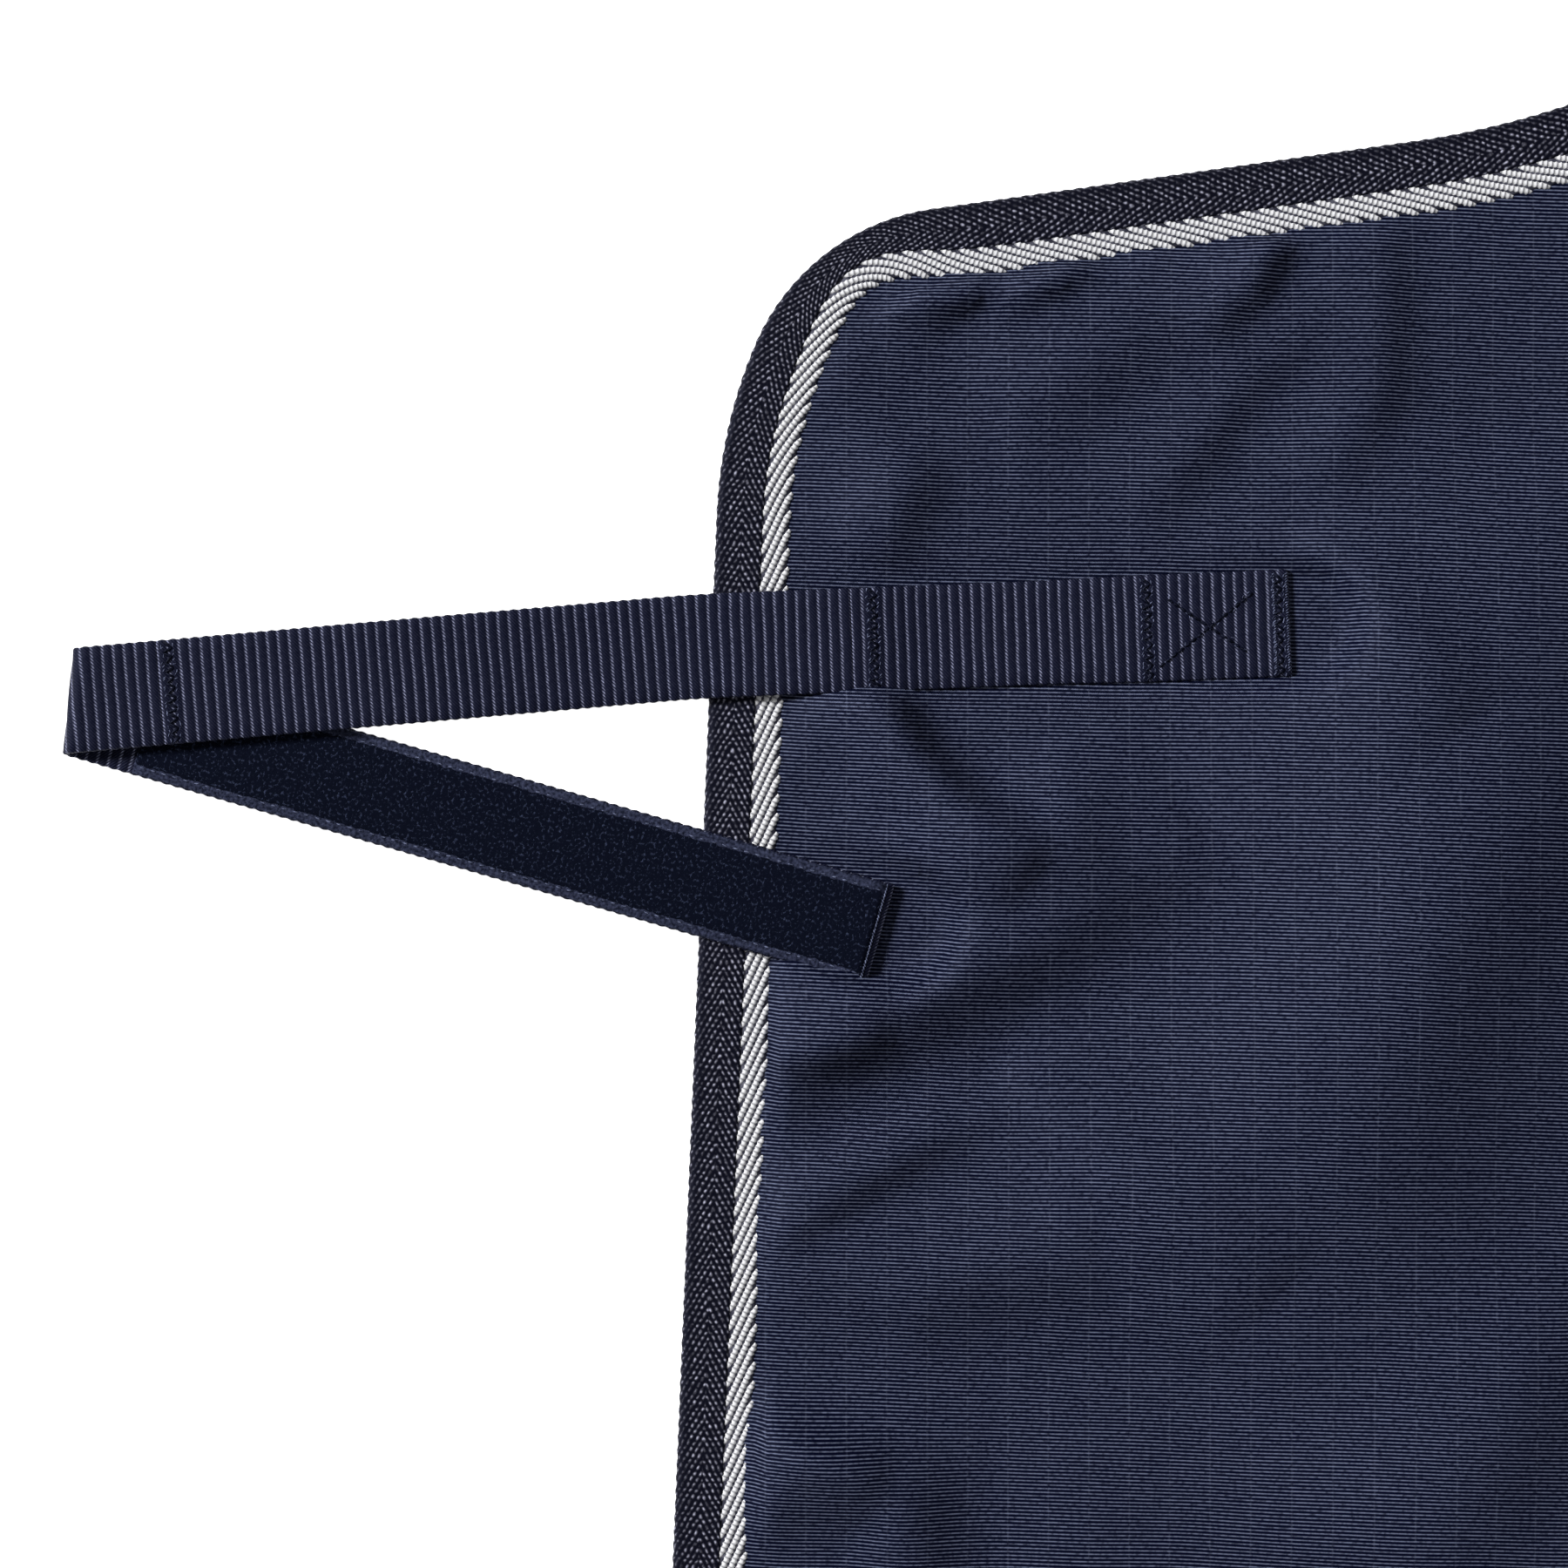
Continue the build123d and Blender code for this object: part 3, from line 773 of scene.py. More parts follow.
@dataclass(frozen=True)
class RipstopCloth(Finish):
    """Outer cloth: fine cross ribs of short floats, with a darker ripstop line every so often; the pale rib
    crests are painted sheen highlights and the dark gaps between them painted shade.
    """

    roughness: float = 0.6
    specular: float = 0.06
    # The dark colour is the cloth with painted shade between the ribs; the light colour is a painted sheen
    # highlight on the rib crests.
    dark: Colour = (2, 5, 28)
    light: Colour = (105, 112, 138)
    rib: float = 0.89 * MM
    ripstop: float = 9.6 * MM
    stray: float = 2.6 * MM

    def build(self, effects: Effects) -> bpy.types.Material:
        """Build the material."""
        material, bench, shader = self.start()
        x, y, place = bench.weave_axes(self.weave)
        bow = bench.group(effects.fleck, Place=place, Scale=11.0, Low=0.2, High=0.8)
        level = bench.math("MULTIPLY_ADD", bow, self.stray, y)
        level = bench.math("MULTIPLY_ADD", x, 0.03, level)
        # Narrow bright rib crests: painted sheen highlights on the floats, with painted shade in the gaps;
        # the rib spacing itself is the real weave.
        ribs = bench.group(effects.ridge, Coordinate=level, Pitch=self.rib, Power=4.2)
        line = bench.group(effects.ridge, Coordinate=x, Pitch=self.ripstop, Power=260.0)
        fleck = bench.group(effects.fleck, Place=place, Scale=950.0, Low=0.3, High=0.7)
        cloud = bench.group(effects.fleck, Place=place, Scale=140.0, Low=0.3, High=0.7)
        thread = bench.math("MULTIPLY", ribs, bench.math("MULTIPLY_ADD", fleck, 1.3, 0.3))
        thread = bench.math("MULTIPLY", thread, bench.math("MULTIPLY_ADD", cloud, 0.25, 0.88))
        broken = bench.math("MULTIPLY", line, bench.math("MULTIPLY_ADD", fleck, 0.9, -0.2))
        shade = bench.math("MULTIPLY_ADD", broken, 0.3, thread, clamp=True)
        bench.feed(shader.inputs["Base Color"], bench.blend(shade, srgb(*self.dark), srgb(*self.light)))
        return material


@dataclass(frozen=True)
class HerringboneTape(Finish):
    """Edge binding: herringbone of dark ribs, dotted with the bright crowns of its floats."""

    roughness: float = 0.6
    specular: float = 0.12
    bump: float = 0.12 * MM
    dark: Colour = (6, 6, 19)
    light: Colour = (188, 188, 210)
    middle: float = 5.2 * MM
    rim: float = 10.2 * MM
    slip: float = 0.55 * MM
    dot: float = 1.52 * MM
    line: float = 1.3 * MM

    def build(self, effects: Effects) -> bpy.types.Material:
        """Build the material."""
        material, bench, shader = self.start()
        along, across, place = bench.weave_axes(self.weave)
        lean = bench.math("ABSOLUTE", bench.math("SUBTRACT", across, self.middle))
        slip = bench.group(effects.fleck, Place=place, Scale=330.0, Low=0.2, High=0.8)
        slip = bench.math("MULTIPLY", slip, self.slip)
        slant = bench.math("SUBTRACT", bench.math("MULTIPLY", along, 0.5), bench.math("MULTIPLY", lean, 0.87))
        slant = bench.math("ADD", slant, slip)
        travel = bench.math("ADD", bench.math("MULTIPLY", along, 0.87), bench.math("MULTIPLY", lean, 0.5))
        travel = bench.math("MULTIPLY_ADD", slip, 1.6, travel)
        row = bench.math("FLOOR", bench.math("ADD", bench.math("DIVIDE", slant, self.line), 0.5))
        shift = bench.math("MULTIPLY", row, 0.37)
        lines = bench.group(effects.ridge, Coordinate=slant, Pitch=self.line, Power=3.2)
        dots = bench.group(effects.ridge, Coordinate=travel, Pitch=self.dot, Shift=shift, Power=1.5)
        fleck = bench.group(effects.fleck, Place=place, Scale=700.0, Low=0.38, High=0.68)
        crown = bench.math("MULTIPLY", lines, dots)
        fibres = bench.group(effects.fleck, Place=place, Scale=1500.0, Low=0.45, High=0.75)
        shade = bench.math("MULTIPLY", crown, bench.math("MULTIPLY_ADD", fleck, 1.25, 0.12))
        rim = bench.node("ShaderNodeMapRange", clamp=True)
        bench.feed(rim.inputs["Value"], bench.math("ABSOLUTE", bench.math("SUBTRACT", across, self.rim)))
        bench.feed(rim.inputs["From Min"], 0.7 * MM)
        bench.feed(rim.inputs["From Max"], 1.9 * MM)
        bench.feed(rim.inputs["To Min"], 0.25)
        shade = bench.math("MULTIPLY", shade, rim.outputs["Result"])
        shade = bench.math("MULTIPLY_ADD", bench.math("MULTIPLY", fibres, lines), 0.10, shade, clamp=True)
        bench.feed(shader.inputs["Base Color"], bench.blend(shade, srgb(*self.dark), srgb(*self.light)))
        self.emboss(bench, shader, crown)
        return material


@dataclass(frozen=True)
class RibbedWebbing(Finish):
    """Webbing: dark ribs across the strap with a bright twisted yarn between each two."""

    roughness: float = 0.6
    specular: float = 0.12
    bump: float = 0.06 * MM
    dark: Colour = (10, 13, 34)
    light: Colour = (160, 164, 196)
    rib: float = 2.6 * MM
    ply: float = 0.84 * MM

    def build(self, effects: Effects) -> bpy.types.Material:
        """Build the material."""
        material, bench, shader = self.start()
        along, across, place = bench.weave_axes(self.weave)
        slow = bench.group(effects.fleck, Place=place, Scale=90.0, Low=0.3, High=0.7)
        drift = bench.math("MULTIPLY_ADD", slow, 0.22 * MM, along)
        yarn = bench.group(effects.ridge, Coordinate=drift, Pitch=self.rib, Power=8.0)
        wide = bench.group(effects.ridge, Coordinate=drift, Pitch=self.rib, Power=2.0)
        slant = bench.math("MULTIPLY_ADD", along, 1.1, across)
        plies = bench.group(effects.ridge, Coordinate=slant, Pitch=self.ply, Power=2.2)
        fleck = bench.group(effects.fleck, Place=place, Scale=1000.0, Low=0.3, High=0.68)
        bright = bench.math("MULTIPLY", yarn, bench.math("MULTIPLY_ADD", plies, 1.0, 0.06))
        faint = bench.math("MULTIPLY", bench.math("SUBTRACT", 1.0, wide), plies)
        shade = bench.math("MULTIPLY_ADD", faint, 0.05, bright)
        shade = bench.math("MULTIPLY", shade, bench.math("MULTIPLY_ADD", fleck, 0.8, 0.45), clamp=True)
        bench.feed(shader.inputs["Base Color"], bench.blend(shade, srgb(*self.dark), srgb(*self.light)))
        self.emboss(bench, shader, bench.math("MULTIPLY", plies, 1.0))
        return material


@dataclass(frozen=True)
class CordStrand(Finish):
    """White cord of the contrast tape, with painted shade in the slanting grooves of its twist."""

    roughness: float = 0.55
    bump: float = 0.2 * MM
    # The grey dark colour is painted shade in the twist's grooves; the cord itself is white.
    dark: Colour = (130, 130, 138)
    light: Colour = (252, 252, 254)
    twist: float = 1.18 * MM

    def build(self, effects: Effects) -> bpy.types.Material:
        """Build the material."""
        material, bench, shader = self.start()
        along, across, place = bench.weave_axes(self.weave)
        slant = bench.math("MULTIPLY_ADD", across, 0.45, along)
        # Narrow dark slanting lines: painted shade in the grooves between the twists.
        ply = bench.group(effects.ridge, Coordinate=slant, Pitch=self.twist, Power=0.35)
        fleck = bench.group(effects.fleck, Place=place, Scale=900.0, Low=0.2, High=0.6)
        shade = bench.math("MULTIPLY", ply, bench.math("MULTIPLY_ADD", fleck, 0.15, 0.85), clamp=True)
        bench.feed(shader.inputs["Base Color"], bench.blend(shade, srgb(*self.dark), srgb(*self.light)))
        self.emboss(bench, shader, ply)
        return material


@dataclass(frozen=True)
class FibreFinish(Finish):
    """Plain thread, pile or lining: one colour with uneven fibres."""

    dark: Colour = (20, 24, 40)
    light: Colour = (60, 66, 88)
    scale: float = 900.0
    low: float = 0.45
    high: float = 0.75
    pitch: float = 0.0

    def build(self, effects: Effects) -> bpy.types.Material:
        """Build the material."""
        material, bench, shader = self.start()
        along, across, place = bench.weave_axes(self.weave)
        shade = bench.group(effects.fleck, Place=place, Scale=self.scale, Low=self.low, High=self.high)
        if self.pitch > 0.0:
            first = bench.group(effects.ridge, Coordinate=along, Pitch=self.pitch)
            second = bench.group(effects.ridge, Coordinate=across, Pitch=self.pitch)
            shade = bench.math("MULTIPLY", shade, bench.math("MAXIMUM", first, second))
        bench.feed(shader.inputs["Base Color"], bench.blend(shade, srgb(*self.dark), srgb(*self.light)))
        if self.bump > 0.0:
            self.emboss(bench, shader, shade)
        return material


@dataclass(frozen=True)
class MetalFinish(Finish):
    """Plated or brushed metal, with faint wear on its brightness."""

    colour: tuple[float, float, float] = (200, 201, 204)
    worn: tuple[float, float, float] = (150, 151, 156)

    def build(self, effects: Effects) -> bpy.types.Material:
        """Build the material."""
        material, bench, shader = self.start()
        place = bench.node("ShaderNodeTexCoord").outputs["Object"]
        wear = bench.group(effects.fleck, Place=place, Scale=240.0, Low=0.4, High=0.8)
        bench.feed(shader.inputs["Base Color"], bench.blend(wear, srgb(*self.colour), srgb(*self.worn)))
        rough = bench.math("MULTIPLY_ADD", wear, 0.12, self.roughness)
        bench.feed(shader.inputs["Roughness"], rough)
        return material


class Wardrobe:
    """All the finishes of the rug, built once and handed out by name."""

    def __init__(self) -> None:
        """Build the materials."""
        effects = Effects()
        self.outer = RipstopCloth("ripstop_outer").build(effects)
        self.binding = HerringboneTape("navy_binding").build(effects)
        self.strand = CordStrand("white_strand").build(effects)
        self.tape_ground = FibreFinish(
            "tape_ground", roughness=0.8, dark=(44, 44, 56), light=(96, 96, 108), scale=500.0
        ).build(effects)
        self.webbing = RibbedWebbing("navy_webbing").build(effects)
        self.webbing_long = RibbedWebbing("navy_webbing_long", weave=WeaveFrom.RUG_LENGTH).build(effects)
        self.webbing_cross = RibbedWebbing("navy_webbing_cross", weave=WeaveFrom.RUG_WIDTH).build(effects)
        self.patch = RipstopCloth("ripstop_patch", weave=WeaveFrom.RUG_WIDTH).build(effects)
        self.pile = FibreFinish(
            "loop_pile", roughness=0.95, specular=0.1, dark=(8, 12, 26), light=(60, 68, 94),
            low=0.54, high=0.76, scale=1250.0, bump=0.3 * MM,
        ).build(effects)
        self.selvedge = FibreFinish(
            "loop_selvedge", dark=(18, 22, 38), light=(64, 69, 94), low=0.35, high=0.7, scale=1300.0,
            bump=0.1 * MM,
        ).build(effects)
        self.hooks = FibreFinish(
            "hook_tape", dark=(10, 13, 26), light=(58, 62, 80), pitch=1.6 * MM
        ).build(effects)
        self.thread = FibreFinish(
            "pale_thread", roughness=0.5, dark=(40, 45, 66), light=(132, 140, 172), low=0.35, high=0.7
        ).build(effects)
        self.dark_thread = FibreFinish(
            "dark_thread", roughness=0.5, dark=(4, 6, 18), light=(30, 34, 54)
        ).build(effects)
        self.shoulder = FibreFinish(
            "shoulder_lining", roughness=0.55, dark=(24, 28, 46), light=(40, 45, 66), scale=300.0
        ).build(effects)
        self.body = FibreFinish(
            "body_lining", roughness=0.8, dark=(22, 25, 42), light=(60, 65, 86), scale=600.0, pitch=3.2 * MM,
            bump=0.2 * MM,
        ).build(effects)
        self.steel = MetalFinish("ring_steel", roughness=0.2, metallic=1.0).build(effects)
        self.plate = MetalFinish(
            "surcingle_metal", roughness=0.32, metallic=1.0, colour=(188, 186, 182), worn=(140, 139, 136)
        ).build(effects)


# ------------------------------------------------------------------ cloth layers
@dataclass
class ClothLayers:
    """Outer cloth and the two linings, each one sheet for the whole rug."""

    pattern: RugPattern
    drape: Drape
    wardrobe: Wardrobe
    seam_depth: float = 3.0 * MM
    outer_thick: float = 1.0 * MM
    lining_thick: float = 0.6 * MM
    fine: float = 3.0 * MM
    coarse: float = 18.0 * MM
    fold_step: float = 6.0 * MM
    chest_x: tuple[float, float] = (-1030 * MM, -790 * MM)
    chest_y: tuple[float, float] = (-680 * MM, -270 * MM)

    def cut(
        self,
        edge: EdgePath,
        name: str,
        xs: Array,
        ys: Array,
        height: Callable[[Array, Array], Array],
        thick: float,
        material: bpy.types.Material,
    ) -> bpy.types.Object:
        """Cut one layer to the pattern and lay it at its height.

        Args:
            edge: The outline it is cut to.
            name: The piece's name.
            xs: Grid spacing along the rug.
            ys: Grid spacing across the rug.
            height: Gives the upper face's height for X and Y.
            thick: Thickness of the cloth, downwards from the upper face.
            material: The piece's finish.

        Returns:
            The finished sheet.
        """
        mesh = woven_grid(name, xs, ys, lambda x, y: np.stack([x, y, x * 0.0], 1))
        points = read_points(mesh)
        tree = SeamLine(edge, self.seam_depth)
        spacing = np.interp(points[:, 0], xs[:-1], np.diff(xs))
        spacing = np.maximum(spacing, np.interp(points[:, 1], ys[:-1], np.diff(ys)))
        points, keep = tree.snap(points, spacing)
        points[:, 2] = height(points[:, 0], points[:, 1])
        write_points(mesh, points)
        with editing(mesh) as bm:
            bm.verts.ensure_lookup_table()
            bmesh.ops.delete(bm, geom=[v for v in bm.verts if not keep[v.index]], context="VERTS")
            bmesh.ops.remove_doubles(bm, verts=bm.verts, dist=0.2 * MM)
        sheet = show(mesh, name, material)
        wall = sheet.modifiers.new("thickness", "SOLIDIFY")
        wall.thickness = thick
        wall.offset = -1.0
        return sheet

    def build(self) -> list[bpy.types.Object]:
        """Build the outer cloth and both linings.

        Returns:
            The three sheets, outer cloth first.
        """
        front = self.pattern.front_x - 2 * MM
        fold_zone = (self.pattern.fold_line - 40 * MM, self.pattern.fold_line + 40 * MM, self.fold_step)
        xs = graded(front, self.pattern.tail_x + 2 * MM, [(*self.chest_x, self.fine)], self.coarse)
        hem = self.pattern.hem_y - 2 * MM
        ys = graded(hem, -hem, [(*self.chest_y, self.fine), fold_zone], self.coarse)
        edge = self.pattern.edge
        outer = self.cut(edge, "outer_cloth", xs, ys, self.drape.cloth, self.outer_thick, self.wardrobe.outer)
        self.pattern.fold(outer)
        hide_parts("near_outer", "back_outer")
        under = self.pattern.cloth_top - self.outer_thick
        sheets = [outer]
        split = self.pattern.withers_x + self.pattern.shoulder_depth
        rows = graded(hem, -hem, [fold_zone], self.coarse)
        spans = {"shoulder": (front, split), "body": (split, self.pattern.tail_x + 2 * MM)}
        for place, (low, high) in spans.items():
            columns = graded(low, high, [], self.coarse)
            lining = self.cut(
                edge,
                f"{place}_lining",
                columns,
                rows,
                lambda x, y: under + self.drape.broad(x, y),
                self.lining_thick,
                getattr(self.wardrobe, place),
            )
            self.pattern.fold(lining)
            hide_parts(f"near_{place}_lining", f"back_{place}_lining")
            sheets.append(lining)
        return sheets


@dataclass
class SeamLine:
    """The line inside the binding along which the cloth is cut."""

    edge: EdgePath
    depth: float

    def snap(self, points: Array, spacing: Array) -> tuple[Array, Array]:
        """Move the points near the line onto it, and find which to keep.

        Args:
            points: Rows of x, y, z.
            spacing: Width of the grid's cells at each point.

        Returns:
            The moved points, and True for each that lies inside or on the line.
        """
        along, inset = self.edge.nearest(points[:, :2])
        gap = inset - self.depth
        near = np.abs(gap) <= 0.62 * spacing
        moved = points.copy()
        on_x, on_y = self.edge.point(along, np.full(along.shape, self.depth))
        moved[:, 0] = np.where(near, on_x, points[:, 0])
        moved[:, 1] = np.where(near, on_y, points[:, 1])
        return moved, (gap > 0.0) | near


# ------------------------------------------------------------------ binding and contrast tape
@dataclass
class EdgeTapes:
    """The folded binding along an edge, and the corded contrast tape beside it."""

    edge: EdgePath
    cloth_top: float
    lift: Callable[[Array, Array], Array]
    follow: Callable[[bpy.types.Object], bpy.types.Object]
    wardrobe: Wardrobe
    prefix: str
    binding_nodes: tuple[str, ...]
    tape_nodes: tuple[str, ...]
    close: tuple[float, float] | None = None
    ease: Callable[[Array], Array] | None = None
    width: float = 11.3 * MM
    thick: float = 0.8 * MM
    tape_width: float = 6.0 * MM
    scallop_pitch: float = 3.2 * MM
    scallop: float = 0.24 * MM
    rib: float = 0.10 * MM
    fine_step: float = 0.64 * MM
    coarse_step: float = 6.0 * MM
    strand_pitch: float = 4.5 * MM
    strand_run: float = 15.6 * MM
    strand_width: float = 1.82 * MM
    strand_height: float = 0.72 * MM
    bead: float = 1.18 * MM

    def _stations(self, step: float) -> tuple[Array, Array]:
        """Space the sections along the edge.

        Args:
            step: Spacing away from the stretch that is made finest.

        Returns:
            The distances, and for each 1, or 0 where a free end is shut.
        """
        zones = [(*self.close, self.fine_step)] if self.close else []
        places = graded(0.0, self.edge.length, zones, step)
        if self.edge.closed:
            return places, np.ones(len(places))
        places = np.concatenate([places[:1], places, places[-1:]])
        opened = np.ones(len(places))
        opened[0] = opened[-1] = 0.0
        return places, opened

    def _fineness(self, along: Array) -> Array:
        """Give 1 in the stretch that is made finest, fading to 0 outside it."""
        if self.close is None:
            return np.zeros(along.shape)
        start, end = self.close
        ease = 10 * MM
        return smoothstep(along, start, start + ease) * smoothstep(-along, -end, ease - end)

    def _binding_section(self) -> Array:
        """Give the binding's closed cross-section as rows of inset and height."""
        top = self.cloth_top + self.thick
        radius = top / 2
        upper = [(inset, top) for inset in np.arange(self.width, radius + 0.4 * MM, -0.72 * MM)]
        upper[0] = (self.width, top - 0.45 * MM)
        upper.insert(1, (self.width - 0.25 * MM, top - 0.08 * MM))
        turns = np.radians(np.arange(90.0, 271.0, 22.5))
        rim = [(radius + radius * math.cos(a), radius + radius * math.sin(a)) for a in turns]
        lower = [(inset, 0.0) for inset in (4 * MM, 7 * MM, self.width - 0.2 * MM)]
        inner_low = [(self.width, self.thick), (self.thick, self.thick)]
        inner_top = [(self.thick, self.cloth_top), (self.width, self.cloth_top)]
        loop = upper + rim + lower + inner_low + inner_top
        return np.array(loop + loop[:1])

    def _extrude(
        self, name: str, section: Array, step: float, relief: Placer | None = None
    ) -> bpy.types.Mesh:
        """Run a cross-section along the edge.

        Args:
            name: Name of the mesh.
            section: Closed rows of inset and height.
            step: Spacing of the sections.
            relief: Gives rows of inset and height changes for distance along and section point.

        Returns:
            The closed mesh.
        """
        stations, opened = self._stations(step)
        middle = section.mean(axis=0)
        girth = np.concatenate([[0.0], np.cumsum(np.linalg.norm(np.diff(section, axis=0), axis=1))])

        def place(order: Array, index: Array) -> Array:
            """Give the point for the station and section indices."""
            along = stations[order.astype(int)]
            point = section[index.astype(int)]
            if relief is not None:
                point = point + relief(along, index)
            point = middle + (point - middle) * opened[order.astype(int)][:, None]
            inset = point[:, 0]
            if self.ease is not None:
                inset = inset - self.ease(along) * np.clip(inset / self.width, 0.0, 1.0)
            x, y = self.edge.point(along, inset)
            return np.stack([x, y, point[:, 1] + self.lift(x, y)], 1)

        def weave(order: Array, index: Array) -> Array:
            """Give the weave coordinates, which run round the section."""
            return np.stack([stations[order.astype(int)], girth[index.astype(int)]], 1)

        rows = np.arange(len(stations)).astype(float)
        columns = np.arange(len(section)).astype(float)
        return woven_grid(name, rows, columns, place, weave, merge=0.02 * MM)

    def binding(self) -> bpy.types.Object:
        """Fold the binding round the edge, with its herringbone ribs and scalloped rim."""
        section = self._binding_section()
        top = self.cloth_top + self.thick

        def relief(along: Array, index: Array) -> Array:
            """Sink the grooves between the ribs, and scallop the rim."""
            inset, level = section[index.astype(int)].T
            lean = np.abs(inset - 6.0 * MM)
            groove = 0.5 - 0.5 * np.cos(2.0 * np.pi * (along + lean * 0.9) / self.scallop_pitch)
            groove = groove * self._fineness(along)
            upper = smoothstep(level, top - 1.0 * MM, top - 0.1 * MM)
            outer = smoothstep(-inset, -2.4 * MM, 0.0)
            return np.stack([self.scallop * groove * outer, -self.rib * groove * upper], 1)

        name = f"{self.prefix}_binding"
        mesh = self._extrude(name, section, self.coarse_step, relief)
        piece = self.follow(show(mesh, name, self.wardrobe.binding))
        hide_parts(*self.binding_nodes)
        return report(piece)

    def tape_ground(self) -> bpy.types.Object:
        """Lay the flat ground of the contrast tape beside the binding."""
        low, high = self.cloth_top, self.cloth_top + 0.34 * MM
        inner = self.width + self.tape_width
        section = [(self.width, low), (self.width, high), (inner - 0.2 * MM, high), (inner, low)]
        name = f"{self.prefix}_contrast_ground"
        mesh = self._extrude(name, np.array(section + section[:1]), 4 * MM)
        piece = self.follow(show(mesh, name, self.wardrobe.tape_ground))
        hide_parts(*self.tape_nodes)
        return report(piece)

    def _turned_inward(self, centre: Array) -> Array:
        """Give the inward directions of the tape's own middle line."""
        ahead = np.gradient(centre, axis=0)
        if self.edge.closed:
            ahead[0] = ahead[-1] = centre[1] - centre[-2]
        inward = np.stack([-ahead[:, 1], ahead[:, 0]], 1)
        return inward / np.linalg.norm(inward, axis=1)[:, None]

    def _strand(self, beads: int, sides: int) -> bpy.types.Mesh:
        """Make one strand, lying in the plane of distance along the edge and inset from it.

        Args:
            beads: Twists that show on the strand, 0 for a plain one.
            sides: Faces round its upper half.

        Returns:
            The strand's mesh, from the edge of the binding to the inner edge of the tape.
        """
        rings = 2 * beads + 1 if beads else 7
        reach = self.tape_width / 2 + 0.25 * MM
        tip_out, tip_in = -reach, reach
        axis = np.array([-self.strand_run, tip_in - tip_out])
        aside = np.array([axis[1], -axis[0]]) / np.linalg.norm(axis)

        def place(share: Array, turn: Array) -> Array:
            """Give a point for a share of the strand's length and a turn round it."""
            twist = 0.36 * turn / max(beads, 1) if beads else 0.0
            travel = np.clip(share + twist * (share > 0.01) * (share < 0.99), 0.0, 1.0)
            swell = 0.5 - 0.5 * np.cos(2.0 * np.pi * beads * share) if beads else 1.0
            ends = np.minimum(smoothstep(share, -0.04, 0.09), smoothstep(1.0 - share, -0.04, 0.09))
            girth = ends * (0.70 + 0.30 * swell)
            across = 0.5 * self.strand_width * girth * np.sin(turn * np.pi / 2)
            level = self.strand_height * girth * np.cos(turn * np.pi / 2)
            u = axis[0] * travel + aside[0] * across
            v = tip_out + axis[1] * travel + aside[1] * across
            return np.stack([u, v, level], 1)

        def weave(share: Array, turn: Array) -> Array:
            """Give the weave coordinates, along and round the strand."""
            return np.stack([share * math.hypot(*axis), turn * MM], 1)

        shares = np.linspace(0.0, 1.0, rings)
        turns = np.linspace(-1.0, 1.0, sides + 1)
        return woven_grid("strand", shares, turns, place, weave)

    def _lay_strands(self, name: str, beads: int, start: float, end: float) -> bpy.types.Object:
        """Repeat a strand along a stretch of the edge and lay all of them on the tape.

        Args:
            name: The piece's name.
            beads: Twists on each strand.
            start: Where the stretch begins, along the edge.
            end: Where the stretch ends.

        Returns:
            The strands as one piece.
        """
        holder = bpy.data.objects.new(name, self._strand(beads, 4))
        bpy.context.scene.collection.objects.link(holder)
        repeat = holder.modifiers.new("repeat", "ARRAY")
        repeat.use_relative_offset = False
        repeat.use_constant_offset = True
        count = max(1, round((end - start) / self.strand_pitch))
        repeat.count = count
        repeat.constant_offset_displace = ((end - start) / count, 0.0, 0.0)
        graph = bpy.context.evaluated_depsgraph_get()
        mesh = bpy.data.meshes.new_from_object(holder.evaluated_get(graph))
        bpy.data.objects.remove(holder)
        mesh.name = name
        points = read_points(mesh)
        x, y = self.middle.point(points[:, 0] + start, points[:, 1])
        level = self.cloth_top + 0.10 * MM + points[:, 2] + self.lift(x, y)
        write_points(mesh, np.stack([x, y, level], 1))
        piece = self.follow(show(mesh, name, self.wardrobe.strand))
        return report(piece)

    def build(self) -> list[bpy.types.Object]:
        """Build the binding, the ground of the contrast tape and its strands."""
        inset = np.full(len(self.edge.reach), self.width + self.tape_width / 2)
        if self.ease is not None:
            inset = inset - self.ease(self.edge.reach)
        centre = np.stack(self.edge.point(self.edge.reach, inset), 1)
        if self.edge.closed:
            centre[-1] = centre[0]
        self.middle = EdgePath(centre, self._turned_inward(centre), closed=self.edge.closed)
        pieces = [self.binding(), self.tape_ground()]
        name = f"{self.prefix}_contrast_strands"
        if self.close is None:
            end_room = self.strand_run / 2 + 1 * MM
            pieces.append(self._lay_strands(name, 0, end_room, self.middle.length - end_room))
            return pieces
        start, end = np.interp(self.close, self.edge.reach, self.middle.reach)
        beads = round(math.hypot(self.strand_run, self.tape_width) / self.bead)
        pieces.append(self._lay_strands(f"{name}_chest", beads, start, end))
        pieces.append(self._lay_strands(f"{name}_round", 0, end, self.middle.length + start))
        return pieces


